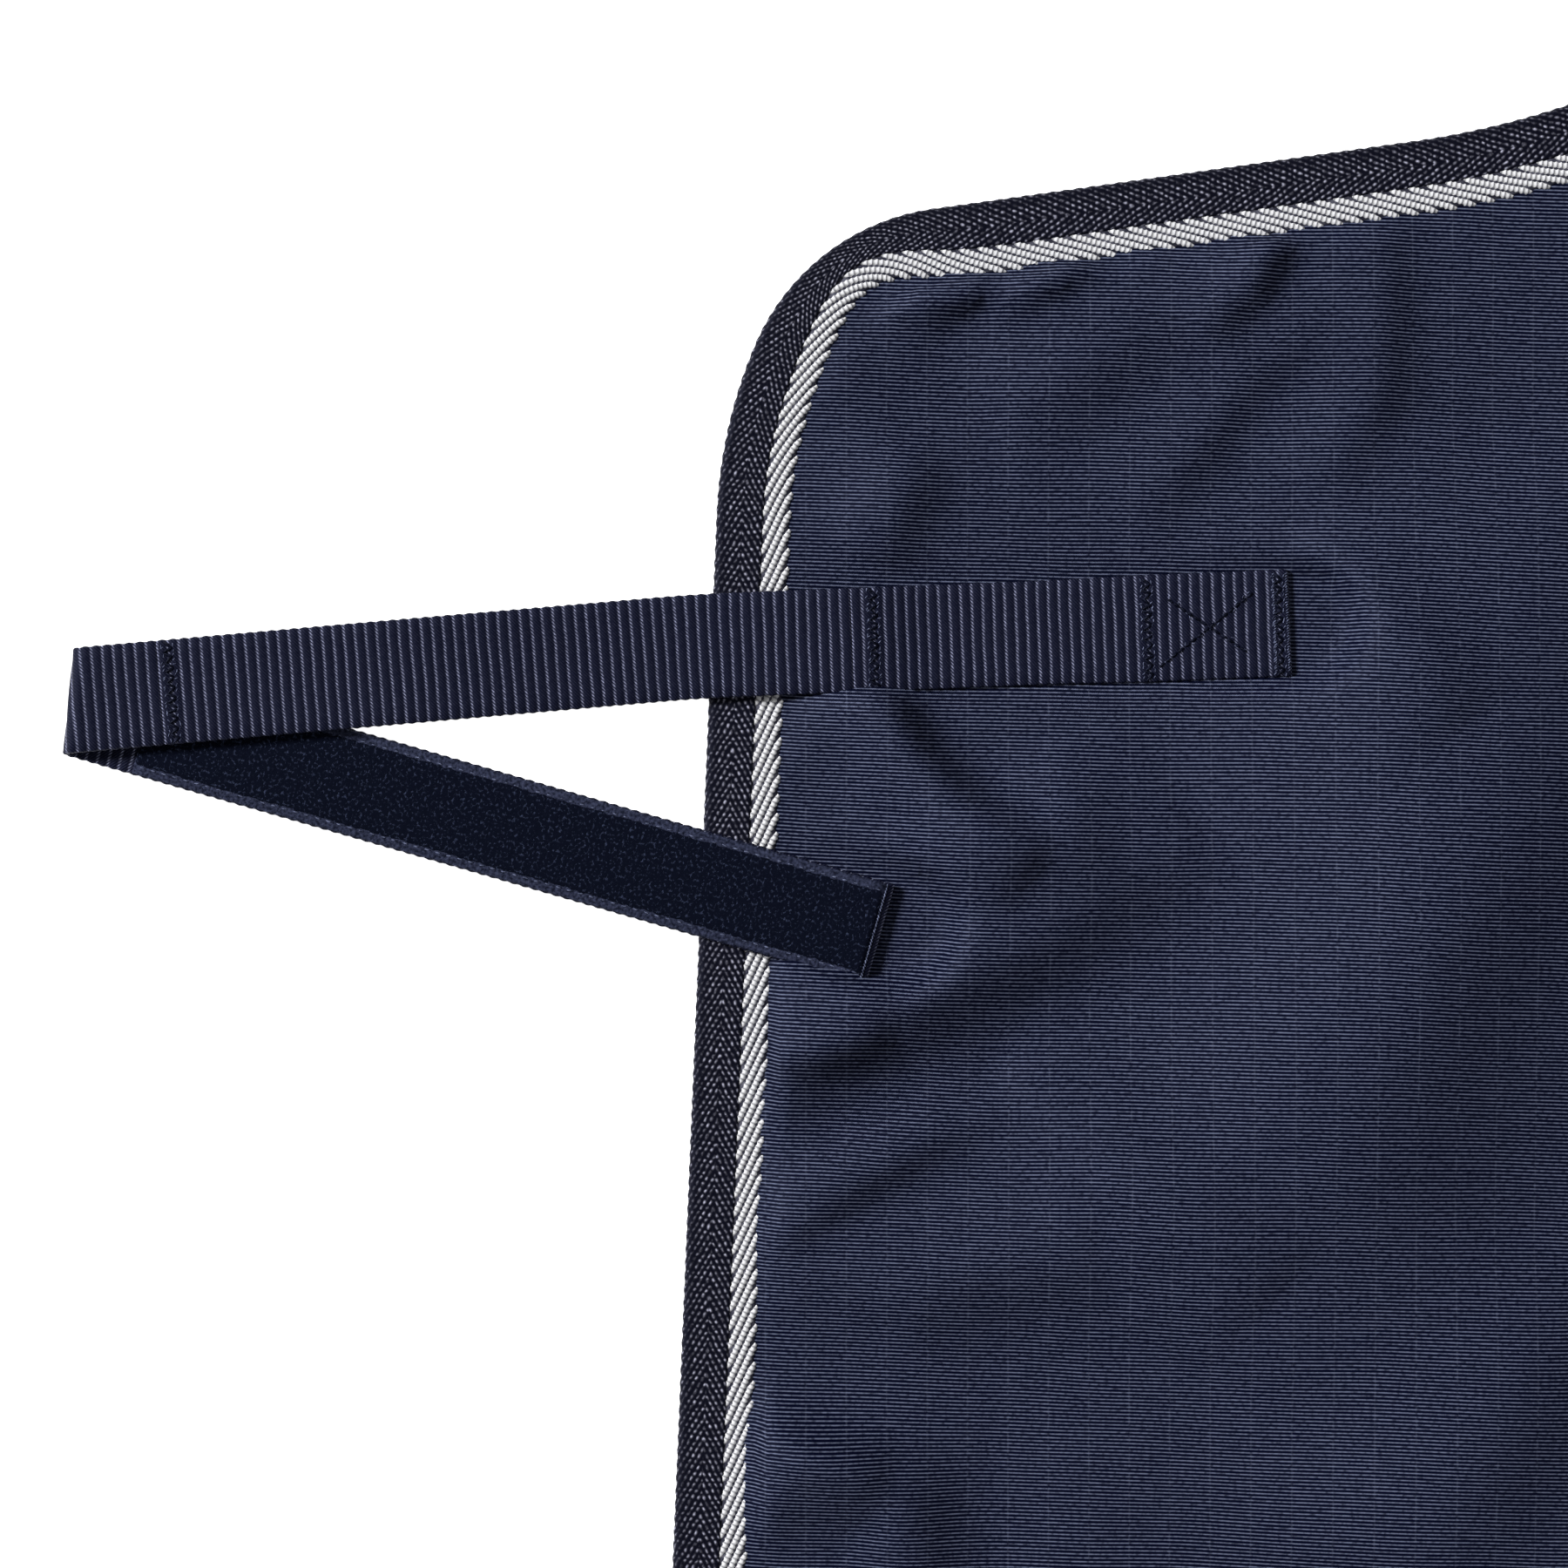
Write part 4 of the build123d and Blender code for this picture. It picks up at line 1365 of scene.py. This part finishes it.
# ------------------------------------------------------------------ chest strap
@dataclass
class ChestStrap:
    """The strap sewn to the chest flap, folded back on itself, with its hook and loop tape."""

    pattern: RugPattern
    wardrobe: Wardrobe
    width: float = 25.0 * MM
    thick: float = 1.6 * MM
    inset: float = 136.2 * MM
    below: float = 25.9 * MM
    upper_run: float = 141.0 * MM
    upper_heading: float = 182.3
    lower_run: float = 146.0 * MM
    lower_heading: float = 185.0
    bow_radius: float = 400.0 * MM
    return_length: float = 197.0 * MM
    return_heading: float = 344.0
    over_edge: tuple[float, float] = (82.0 * MM, 106.0 * MM)
    over_return: tuple[float, float] = (142.0 * MM, 222.0 * MM)
    hinge_half: float = 5.0 * MM
    edge_rise: float = 2.2 * MM
    hook_start: float = 104.0 * MM
    hook_end: float = 266.0 * MM
    hook_thick: float = 1.1 * MM
    join: float = 104.0 * MM
    turn: float = 268.0 * MM
    loop_start: float = 16.0 * MM
    loop_margin: float = 1.8 * MM
    selvedge: float = 2.1 * MM
    flare: float = 0.03
    rib: float = 2.6 * MM
    rib_depth: float = 0.24 * MM
    steps_per_rib: int = 6

    def __post_init__(self) -> None:
        """Work out the strap's line, its crease and its levels."""
        corner = self.pattern.chest_top
        self.sewn_end = np.array([corner[0] + self.inset, corner[1] - self.below])
        turn = self.lower_heading - self.upper_heading
        trim = self.bow_radius * math.tan(math.radians(turn) / 2)
        pen = Tracer(self.sewn_end.copy(), math.radians(self.upper_heading))
        pen.straight(self.upper_run - trim)
        pen.arc(self.bow_radius, turn)
        pen.straight(self.lower_run - trim)
        self.crease = pen.here.copy()
        pen.straight(self.return_length + 60 * MM)
        self.line = pen.path()
        self.leg_length = float(self.line.nearest(self.crease[None, :])[0][0])
        axis = math.radians((self.lower_heading + self.return_heading) / 2)
        self.crease_axis = np.array([math.cos(axis), math.sin(axis)])
        self.crease_out = np.array([math.sin(axis), -math.cos(axis)])
        anchor_low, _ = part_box("chest_strap_anchor")
        leg_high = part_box("chest_strap_leg")[1].z
        return_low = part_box("chest_strap_return")[0].z
        self.sewn_level = anchor_low.z + self.thick / 2
        self.leg_level = leg_high - self.thick / 2
        self.back_level = return_low + self.thick / 2
        self.bend_radius = (self.leg_level - self.back_level) / 2
        self.total = self.leg_length + math.pi * self.bend_radius + self.return_length

    def place(self, along: Array, across: Array, rise: Array) -> Array:
        """Give a point of the strap from its flat, unfolded coordinates.

        Args:
            along: Distance from the sewn end, along the strap.
            across: Distance from the middle line, to the left going along.
            rise: Distance above the middle of its thickness, on the face that shows.

        Returns:
            Rows of x, y, z.
        """
        x, y = self.line.point(along, across)
        past = (x - self.crease[0]) * self.crease_out[0] + (y - self.crease[1]) * self.crease_out[1]
        beside = (x - self.crease[0]) * self.crease_axis[0] + (y - self.crease[1]) * self.crease_axis[1]
        angle = np.clip(past / self.bend_radius, 0.0, math.pi)
        beyond = np.maximum(past - math.pi * self.bend_radius, 0.0)
        radius = self.bend_radius + rise
        flat_out = np.where(past > 0.0, radius * np.sin(angle) - beyond, past)
        over_edge = smoothstep(along, *self.over_edge)
        over_return = smoothstep(along, *self.over_return)
        leg = self.sewn_level + self.edge_rise * over_edge
        leg = leg + (self.leg_level - self.sewn_level - self.edge_rise) * over_return
        lift = np.where(past > 0.0, self.leg_level - self.bend_radius + radius * np.cos(angle), leg + rise)
        plan_x = self.crease[0] + self.crease_axis[0] * beside + self.crease_out[0] * flat_out
        plan_y = self.crease[1] + self.crease_axis[1] * beside + self.crease_out[1] * flat_out
        return np.stack([plan_x, plan_y, lift], 1)

    def _section(self) -> Array:
        """Give the strap's closed cross-section as rows of offset and rise."""
        half, face = self.width / 2, self.thick / 2
        ease = 0.45 * MM
        tops = np.linspace(-half + ease, half - ease, 9)
        upper = [(-half, 0.0), (-half + 0.12 * MM, face * 0.7)] + [(v, face) for v in tops]
        upper += [(half - 0.12 * MM, face * 0.7)]
        lower = [(-v, -r) for v, r in upper]
        loop = upper + lower
        return np.array(loop + loop[:1])

    def _webbing(self, name: str, start: float, end: float) -> bpy.types.Mesh:
        """Weave a stretch of the strap.

        Args:
            name: Name of the mesh.
            start: Where the stretch begins, from the sewn end.
            end: Where it ends.

        Returns:
            The closed mesh of the stretch.
        """
        section = self._section()
        step = self.rib / self.steps_per_rib
        count = round((end - start) / step)
        stations = np.linspace(start, end, count + 1)
        stations = np.concatenate([[start], stations, [end]])
        caps = np.ones(len(stations))
        caps[0] = caps[-1] = 0.0
        order = np.arange(len(stations)).astype(float)

        def values(index: Array, point: Array) -> tuple[Array, Array, Array]:
            """Give along, across and rise for the station and section indices."""
            along = stations[index.astype(int)]
            across = section[point.astype(int), 0]
            rise = section[point.astype(int), 1]
            wave = 0.5 + 0.5 * np.cos(2.0 * np.pi * along / self.rib)
            sunk = 1.0 - self.rib_depth / (self.thick / 2) * wave ** 1.5
            edge = 1.0 - 0.25 * MM / (self.width / 2) * wave
            shut = caps[index.astype(int)]
            flare = 1.0 + self.flare * smoothstep(-along, -60 * MM, -30 * MM)
            return along, across * edge * flare * shut, rise * sunk * shut

        def place(index: Array, point: Array) -> Array:
            """Give the point for the station and section indices."""
            return self.place(*values(index, point))

        def weave(index: Array, point: Array) -> Array:
            """Give the weave coordinates for the station and section indices."""
            along, across, _ = values(index, point)
            return np.stack([along, across], 1)

        return woven_grid(name, order, np.arange(len(section)).astype(float), place, weave, merge=0.01 * MM)

    def hinge(self, piece: bpy.types.Object) -> None:
        """Bake a piece of the sewn part into place; the hinge line is worked out but not used."""
        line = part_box("chest_strap_anchor")[0].x
        y, level = self.sewn_end[1], self.sewn_level
        start, end = (line + self.hinge_half, y, level), (line - self.hinge_half, y, level)
        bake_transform(piece)
        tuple(start)
        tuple(end)

    def straps(self) -> list[bpy.types.Object]:
        """Make the sewn, middle and folded parts of the strap, which meet on ribs."""
        join, turn = (round(place / self.rib) * self.rib for place in (self.join, self.turn))
        finish = self.wardrobe.webbing
        sewn = show(self._webbing("chest_strap_sewn", 0.0, join), "chest_strap_sewn", finish)
        self.hinge(sewn)
        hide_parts("chest_strap_anchor")
        middle = show(self._webbing("chest_strap_middle", join, turn), "chest_strap_middle", finish)
        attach(middle, "chest_strap")
        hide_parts("chest_strap_leg")
        folded = show(self._webbing("chest_strap_folded", turn, self.total), "chest_strap_folded", finish)
        x, y = self.crease
        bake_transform(folded)
        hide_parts("chest_strap_return")
        return [report(sewn), report(middle), report(folded)]

    def hook_tape(self) -> bpy.types.Object:
        """Make the hook tape under the strap, with its rows of small hooks."""
        half = 12.0 * MM
        face = -self.thick / 2
        rows = np.arange(self.hook_start, self.hook_end, 0.9 * MM)
        columns = np.arange(-half, half + 0.1 * MM, 0.8 * MM)
        order, index = np.arange(len(rows)).astype(float), np.arange(len(columns)).astype(float)

        def point(row: Array, column: Array) -> Array:
            """Give a point of the hooked face, high on every other row and column."""
            along, across = rows[row.astype(int)], columns[column.astype(int)]
            rim = (row < 1) | (row > len(rows) - 2) | (column < 1) | (column > len(columns) - 2)
            tall = np.where((row + column) % 2 < 0.5, self.hook_thick, self.hook_thick * 0.55)
            return self.place(along, across, face - np.where(rim, 0.0, tall))

        def weave(row: Array, column: Array) -> Array:
            """Give the weave coordinates for the row and column numbers."""
            return np.stack([rows[row.astype(int)], columns[column.astype(int)]], 1)

        mesh = woven_grid("hook_tape", order, index, point, weave)
        piece = show(mesh, "chest_hooks", self.wardrobe.hooks)
        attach(piece, "chest_strap")
        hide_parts("chest_hook_tape")
        return report(piece)

    def on_return(self, along: Array, across: Array, level: Array) -> Array:
        """Give a point above the return part, from its distance past the crease."""
        start = self.leg_length + math.pi * self.bend_radius
        return self.place(start + along, across, self.back_level - level)

    def loop_tape(self) -> list[bpy.types.Object]:
        """Make the loop tape: its woven ground with selvedges, and the pile on it."""
        low, high = (corner.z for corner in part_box("chest_loop_tape"))
        start, end = self.loop_start, self.return_length - self.loop_margin
        half = 12.0 * MM
        ground_top = low + 0.7 * MM
        section = np.array(
            [(-half, low), (-half, ground_top - 0.2 * MM), (-half + 0.3 * MM, ground_top)]
            + [(half - 0.3 * MM, ground_top), (half, ground_top - 0.2 * MM), (half, low), (-half, low)]
        )
        steps = np.concatenate([[start], np.linspace(start, end, 61), [end]])
        shut = np.ones(len(steps))
        shut[0] = shut[-1] = 0.0
        middle = section[:-1].mean(axis=0)

        def ground_point(order: Array, index: Array) -> Array:
            """Give a point of the ground for the station and section indices."""
            station = order.astype(int)
            point = middle + (section[index.astype(int)] - middle) * shut[station][:, None]
            return self.on_return(steps[station], point[:, 0], point[:, 1])

        mesh = woven_grid(
            "loop_ground",
            np.arange(len(steps)).astype(float),
            np.arange(len(section)).astype(float),
            ground_point,
            lambda u, k: np.stack([steps[u.astype(int)], section[k.astype(int), 0]], 1),
            merge=0.01 * MM,
        )
        ground = show(mesh, "chest_loop_ground", self.wardrobe.selvedge)
        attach(ground, "chest_strap_end")
        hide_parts("chest_loop_tape")
        reach = half - self.selvedge

        def fluff(along: Array, across: Array) -> Array:
            """Give the uneven top of the pile."""
            ragged = 0.25 * MM * wander(along, np.sign(across) * 0.02, 35, 3.1 * MM)
            side = smoothstep(reach - np.abs(across), 0.0, 0.9 * MM)
            tip = smoothstep(np.minimum(along - start, end - along), 0.0, 0.9 * MM)
            tuft = wander(along, across, 31, 2.6 * MM) * 0.5 + wander(along, across, 32, 1.5 * MM) * 0.5
            level = ground_top - 0.05 * MM + (high - ground_top) * side * tip * (0.84 + 0.18 * tuft)
            return self.on_return(along, across + ragged * (1.0 - side), level)

        rows = np.linspace(start + 0.1 * MM, end - 0.1 * MM, 290)
        columns = np.linspace(-reach, reach, 33)
        pile = show(woven_grid("loop_pile", rows, columns, fluff), "chest_loop_pile", self.wardrobe.pile)
        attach(pile, "chest_strap_end")
        return [report(ground), report(pile)]

    def build(self) -> list[bpy.types.Object]:
        """Build the strap and its tapes."""
        return self.straps() + self.loop_tape() + [self.hook_tape()]


@dataclass(frozen=True)
class Stitch:
    """One stitch: its middle on the strap, its turn from the strap's length, and its size."""

    along: float
    across: float
    turn: float
    length: float
    girth: float
    level: float = 0.0


@dataclass
class StrapStitching:
    """The sewing of the chest strap: bands of zigzag, the box's cross, and the tape's edges."""

    strap: ChestStrap
    wardrobe: Wardrobe
    half: float = 11.7 * MM
    zigzag_pitch: float = 1.2 * MM
    band_width: float = 2.6 * MM
    cross_pitch: float = 1.9 * MM
    cross_lines: tuple[tuple[tuple[float, float], ...], ...] = (
        ((8.5, -7.5), (31.0, 9.0)),
        ((10.5, 6.5), (28.5, -6.5)),
    )
    hem_pitch: float = 0.62 * MM
    edge_pitch: float = 2.7 * MM
    whip_pitch: float = 0.75 * MM
    whip_half: float = 11.6 * MM
    sunk: float = 0.12 * MM
    seed: int = 5

    def __post_init__(self) -> None:
        """Start the fixed run of small differences between stitches."""
        self.vary = np.random.default_rng(self.seed)

    def tilt(self, turn: float, spread: float) -> float:
        """Give a turn in degrees, a little different for each stitch."""
        return turn + self.vary.normal(0.0, spread)

    def zigzag(self, along: float) -> tuple[list[Stitch], list[Stitch]]:
        """Sew a band across the strap.

        Args:
            along: Distance of the band from the sewn end.

        Returns:
            The dark stitches, and the pale loops beside them.
        """
        dark, pale = [], []
        count = round(2 * self.half / self.zigzag_pitch)
        for index in range(count):
            across = -self.half + (index + 0.5) * self.zigzag_pitch
            turn = self.tilt(32.0 if index % 2 else -32.0, 9.0)
            dark.append(Stitch(along, across, turn, self.band_width, 0.7 * MM, 0.16 * MM))
            for side in (-1.0, 1.0):
                place = along + side * self.band_width / 2 + self.vary.normal(0.0, 0.14 * MM)
                drift = across + self.vary.normal(0.0, 0.3 * MM)
                pale.append(Stitch(place, drift, self.tilt(65.0, 22.0), 0.95 * MM, 0.26 * MM, 0.14 * MM))
        return dark, pale

    def cross(self) -> tuple[list[Stitch], list[Stitch]]:
        """Sew the two slanting lines of the box."""
        dark, pale = [], []
        for low, high in self.cross_lines:
            start, end = np.array(low) * MM, np.array(high) * MM
            span = float(np.linalg.norm(end - start))
            lean = math.degrees(math.atan2(end[1] - start[1], end[0] - start[0]))
            count = span / self.cross_pitch
            for share in np.arange(0.5, count) / count:
                place = start + (end - start) * share
                dark.append(Stitch(*place, self.tilt(lean, 6.0), 1.8 * MM, 0.72 * MM, 0.16 * MM))
                beside = place + self.vary.normal(0.0, 0.45 * MM, 2)
                pale.append(Stitch(*beside, self.tilt(lean, 25.0), 0.9 * MM, 0.22 * MM, 0.12 * MM))
        return dark, pale

    def hem(self, start: float, end: float) -> list[Stitch]:
        """Sew a close row of pale stitches along the sewn end."""
        stitches = []
        for place in (start, end):
            for across in np.arange(-self.half, self.half, self.hem_pitch):
                along = place + self.vary.normal(0.0, 0.06 * MM)
                stitches.append(Stitch(along, across, self.tilt(40.0, 15.0), 0.8 * MM, 0.28 * MM, 0.1 * MM))
        return stitches

    def _mesh(
        self, name: str, stitches: Sequence[Stitch], place: Callable[[Array, Array, Array], Array]
    ) -> bpy.types.Mesh:
        """Make every stitch a small rounded shape and lay it on the strap.

        Args:
            name: Name of the mesh.
            stitches: The stitches.
            place: Gives rows of x, y, z for along, across and height above the face.

        Returns:
            The mesh of all stitches.
        """
        lying = Euler((0.0, math.pi / 2, 0.0)).to_matrix()
        mesh = bpy.data.meshes.new(name)
        with editing(mesh) as bm:
            for stitch in stitches:
                made = bmesh.ops.create_uvsphere(bm, u_segments=6, v_segments=4, radius=0.5)["verts"]
                bmesh.ops.rotate(bm, verts=made, cent=(0, 0, 0), matrix=lying)
                bmesh.ops.scale(bm, verts=made, vec=(stitch.length, stitch.girth, stitch.girth))
                turn = Euler((0.0, 0.0, math.radians(stitch.turn))).to_matrix()
                bmesh.ops.rotate(bm, verts=made, cent=(0, 0, 0), matrix=turn)
                bmesh.ops.translate(bm, verts=made, vec=(stitch.along, stitch.across, stitch.level))
        points = read_points(mesh)
        set_weave(mesh, points[:, :2])
        write_points(mesh, place(points[:, 0], points[:, 1], points[:, 2]))
        with editing(mesh) as bm:
            bmesh.ops.recalc_face_normals(bm, faces=bm.faces)
        return mesh

    def _sew(self, name: str, stitches: Sequence[Stitch], material: bpy.types.Material, body: str) -> None:
        """Lay stitches on the strap's upper face and let them ride with a body; those of the sewn part are
        only fixed in place.

        Args:
            name: The piece's name.
            stitches: The stitches.
            material: Their finish.
            body: The body they move with.
        """
        face = self.strap.thick / 2 - self.sunk
        mesh = self._mesh(name, stitches, lambda u, v, w: self.strap.place(u, v, w + face))
        piece = show(mesh, name, material)
        if body == "sewn":
            self.strap.hinge(piece)
        else:
            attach(piece, body)
        report(piece)

    def tape_edges(self) -> None:
        """Sew the loop tape down along both selvedges, and whip its cut end."""
        strap = self.strap
        start, end = strap.loop_start + 2 * MM, strap.return_length - strap.loop_margin
        stitches = []
        for side in (-1.0, 1.0):
            across = side * (12.0 * MM - strap.selvedge * 0.86)
            for along in np.arange(start, end, self.edge_pitch):
                stitches.append(Stitch(along, across, self.tilt(0.0, 5.0), 1.3 * MM, 0.34 * MM))
        cut = end + 0.2 * MM
        for across in np.arange(-self.whip_half, self.whip_half, self.whip_pitch):
            stitches.append(Stitch(cut, across, self.tilt(62.0, 8.0), 1.0 * MM, 0.34 * MM, 0.1 * MM))
        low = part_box("chest_loop_tape")[0].z
        mesh = self._mesh("tape", stitches, lambda u, v, w: strap.on_return(u, v, w + low + 0.78 * MM))
        piece = show(mesh, "chest_tape_stitches", self.wardrobe.thread)
        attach(piece, "chest_strap_end")
        report(piece)

    def build(self) -> None:
        """Sew the strap's bands, its box, and the loop tape's edges."""
        rib = self.strap.rib
        near = [self.zigzag(count * rib) for count in (1, 13, 38)] + [self.cross()]
        far_dark, far_pale = self.zigzag(102 * rib)
        dark = [stitch for pair in near for stitch in pair[0]]
        pale = [stitch for pair in near for stitch in pair[1]] + self.hem(0.55 * MM, 3.6 * MM)
        self._sew("chest_sewn_dark_stitches", dark, self.wardrobe.dark_thread, "sewn")
        self._sew("chest_sewn_pale_stitches", pale, self.wardrobe.thread, "sewn")
        self._sew("chest_folded_dark_stitches", far_dark, self.wardrobe.dark_thread, "chest_strap")
        self._sew("chest_folded_pale_stitches", far_pale, self.wardrobe.thread, "chest_strap")
        self.tape_edges()


# ------------------------------------------------------------------ tail flap
@dataclass
class TailFlap:
    """The flap sewn to the rug's tail edge, with its own binding and contrast tape."""

    layers: ClothLayers
    wardrobe: Wardrobe
    corner_radius: float = 80 * MM
    bend: float = 20 * MM
    step: float = 9 * MM
    swell: float = 3.0 * MM

    def __post_init__(self) -> None:
        """Trace the flap's three free sides."""
        low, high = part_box("tail_flap_binding")
        self.root_x, self.end_x, self.half_width = low.x, high.x, high.y
        self.cloth_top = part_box("tail_flap_outer")[1].z
        side = self.end_x - self.root_x - self.corner_radius
        pen = Tracer(np.array([self.root_x, -self.half_width]), 0.0)
        pen.straight(side).arc(self.corner_radius, 90.0)
        pen.straight(2 * (self.half_width - self.corner_radius)).arc(self.corner_radius, 90.0).straight(side)
        self.edge = pen.path()

    def lift(self, x: Array, y: Array) -> Array:
        """Give the gentle swell of the flap, flat at its seam."""
        free = smoothstep(x, self.root_x + 30 * MM, self.root_x + 140 * MM)
        return self.swell * free * (1.0 + wander(x, y, 17, 210 * MM)) ** 2 / 2.4

    def follow(self, piece: bpy.types.Object) -> bpy.types.Object:
        """Bake a piece's placement into its mesh and hand it back."""
        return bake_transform(piece)

    def build(self) -> list[bpy.types.Object]:
        """Build the flap's two cloths, and then its binding and tape."""
        fine = (self.root_x, self.root_x + self.bend, 3 * MM)
        xs = graded(self.root_x, self.end_x + 1 * MM, [fine], self.step)
        ys = graded(-self.half_width - 1 * MM, self.half_width + 1 * MM, [], self.step)
        cloths = []
        plan = {
            "outer": (self.cloth_top, self.layers.outer_thick, self.wardrobe.outer, "outer_cloth"),
            "lining": (
                self.cloth_top - self.layers.outer_thick,
                self.layers.lining_thick,
                self.wardrobe.body,
                "body_lining",
            ),
        }
        for name, (top, thick, material, slot) in plan.items():
            cloth = self.layers.cut(
                self.edge, f"flap_{name}", xs, ys, lambda x, y, top=top: top + self.lift(x, y), thick,
                material,
            )
            self.follow(cloth)
            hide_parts(f"tail_flap_{name}")
            cloths.append(cloth)
        tapes = EdgeTapes(
            self.edge,
            self.cloth_top,
            self.lift,
            self.follow,
            self.wardrobe,
            "flap",
            ("tail_flap_binding",),
            ("tail_flap_contrast_tape",),
        ).build()
        return cloths + tapes


# ------------------------------------------------------------------ fittings
@dataclass
class Fittings:
    """Rings, surcingles and their metal, which keep their CAD shapes and get their finishes."""

    wardrobe: Wardrobe
    edge_round: float = 0.35 * MM

    def finish(self, name: str, material: bpy.types.Material, rounded: bool) -> None:
        """Give a CAD node its finish.

        Args:
            name: The node's name.
            material: The finish.
            rounded: Whether its edges are softened.
        """
        node = bpy.data.objects[name]
        for place in node.material_slots:
            place.material = material
        if rounded:
            soft = node.modifiers.new("soft_edges", "BEVEL")
            soft.width = self.edge_round
            soft.segments = 2
            soft.limit_method = "ANGLE"
            soft.angle_limit = math.radians(40.0)
        log.info("%s: finished", name)

    def build(self) -> None:
        """Finish every ring, tab, strap and plate."""
        for ring in ("chest_ring", "near_leg_ring", "off_leg_ring"):
            self.finish(ring, self.wardrobe.steel, False)
            self.finish(f"{ring}_tab", self.wardrobe.webbing_long, True)
        for place in ("front", "rear"):
            self.finish(f"{place}_surcingle_patch", self.wardrobe.patch, True)
            for part in ("anchor", "strap", "tab"):
                self.finish(f"{place}_surcingle_{part}", self.wardrobe.webbing_cross, True)
            for part in ("slider", "hook", "eye"):
                self.finish(f"{place}_surcingle_{part}", self.wardrobe.plate, True)


# ------------------------------------------------------------------ stage
@dataclass
class Studio:
    """Camera, lights and floor."""

    view_width: float = 372.6 * MM
    lens: float = 100.0
    sensor: float = 36.0
    centre: tuple[float, float] = (-993.98 * MM, -476.82 * MM)

    def camera(self, level: float) -> bpy.types.Object:
        """Place the camera straight above the chest flap.

        Args:
            level: Height of the cloth's upper face.

        Returns:
            The camera.
        """
        data = bpy.data.cameras.new("camera")
        data.type = "PERSP"
        data.lens = self.lens
        data.sensor_width = self.sensor
        data.clip_start = 0.01
        data.clip_end = 300.0
        camera = bpy.data.objects.new("camera", data)
        camera.location = (*self.centre, level + self.view_width * self.lens / self.sensor)
        bpy.context.scene.collection.objects.link(camera)
        bpy.context.scene.camera = camera
        return camera

    def light(self, name: str, turn: float, rise: float, energy: float, soft: float) -> None:
        """Hang a soft, distant light.

        Args:
            name: The light's name.
            turn: Compass direction it comes from, in degrees from +X.
            rise: Height above the horizon, in degrees.
            energy: Strength.
            soft: Angular size in degrees.
        """
        data = bpy.data.lights.new(name, "SUN")
        data.energy = energy
        data.angle = math.radians(soft)
        lamp = bpy.data.objects.new(name, data)
        a, e = math.radians(turn), math.radians(rise)
        towards = Vector((math.cos(a) * math.cos(e), math.sin(a) * math.cos(e), math.sin(e)))
        lamp.rotation_euler = towards.to_track_quat("Z", "Y").to_euler()
        bpy.context.scene.collection.objects.link(lamp)

    def floor(self) -> None:
        """Lay a plain white floor under the rug."""
        mesh = bpy.data.meshes.new("floor")
        with editing(mesh) as bm:
            bmesh.ops.create_grid(bm, x_segments=1, y_segments=1, size=80.0)
            bmesh.ops.translate(bm, verts=bm.verts, vec=(0.0, 0.0, -0.4 * MM))
        material = bpy.data.materials.new("floor_white")
        material.use_nodes = True
        shader = material.node_tree.nodes["Principled BSDF"]
        shader.inputs["Base Color"].default_value = (0.9, 0.9, 0.9, 1.0)
        shader.inputs["Roughness"].default_value = 0.9
        shader.inputs["Emission Color"].default_value = (1.0, 1.0, 1.0, 1.0)
        shader.inputs["Emission Strength"].default_value = 0.95
        show(mesh, "floor", material)

    def build(self, level: float) -> None:
        """Set the stage."""
        scene = bpy.context.scene
        scene.view_settings.view_transform = "Standard"
        scene.view_settings.look = "None"
        world = bpy.data.worlds.new("studio")
        world.use_nodes = True
        sky = world.node_tree.nodes["Background"]
        sky.inputs["Color"].default_value = (1.0, 1.0, 1.0, 1.0)
        sky.inputs["Strength"].default_value = 0.14
        scene.world = world
        self.light("key_light", 154.0, 38.0, 3.8, 16.0)
        self.light("fill_light", -30.0, 60.0, 0.2, 40.0)
        self.floor()
        self.camera(level)


def main() -> None:
    """Build the rug piece by piece."""
    logging.basicConfig(level=logging.INFO, format="%(name)s %(message)s")
    pattern = RugPattern()
    Studio().build(pattern.cloth_top)
    wardrobe = Wardrobe()
    drape = Drape(pattern)
    layers = ClothLayers(pattern, drape, wardrobe)
    outer, shoulder, body = layers.build()
    tapes = EdgeTapes(
        pattern.edge,
        pattern.cloth_top,
        drape.broad,
        pattern.fold,
        wardrobe,
        "rug",
        ("near_binding", "back_binding"),
        ("near_contrast_tape", "back_contrast_tape"),
        pattern.chest_span(),
        pattern.ease,
    ).build()
    flat_area(outer)
    flat_area(shoulder)
    flat_area(body)
    strap = ChestStrap(pattern, wardrobe)
    strap.build()
    StrapStitching(strap, wardrobe).build()
    flap = TailFlap(layers, wardrobe)
    flap_outer, flap_lining, *flap_tapes = flap.build()
    flat_area(flap_outer)
    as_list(flap_tapes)
    flat_area(flap_lining)
    Fittings(wardrobe).build()
    for cloth in (outer, shoulder, body, flap_outer, flap_lining):
        report(cloth)


if __name__ == "__main__":
    main()
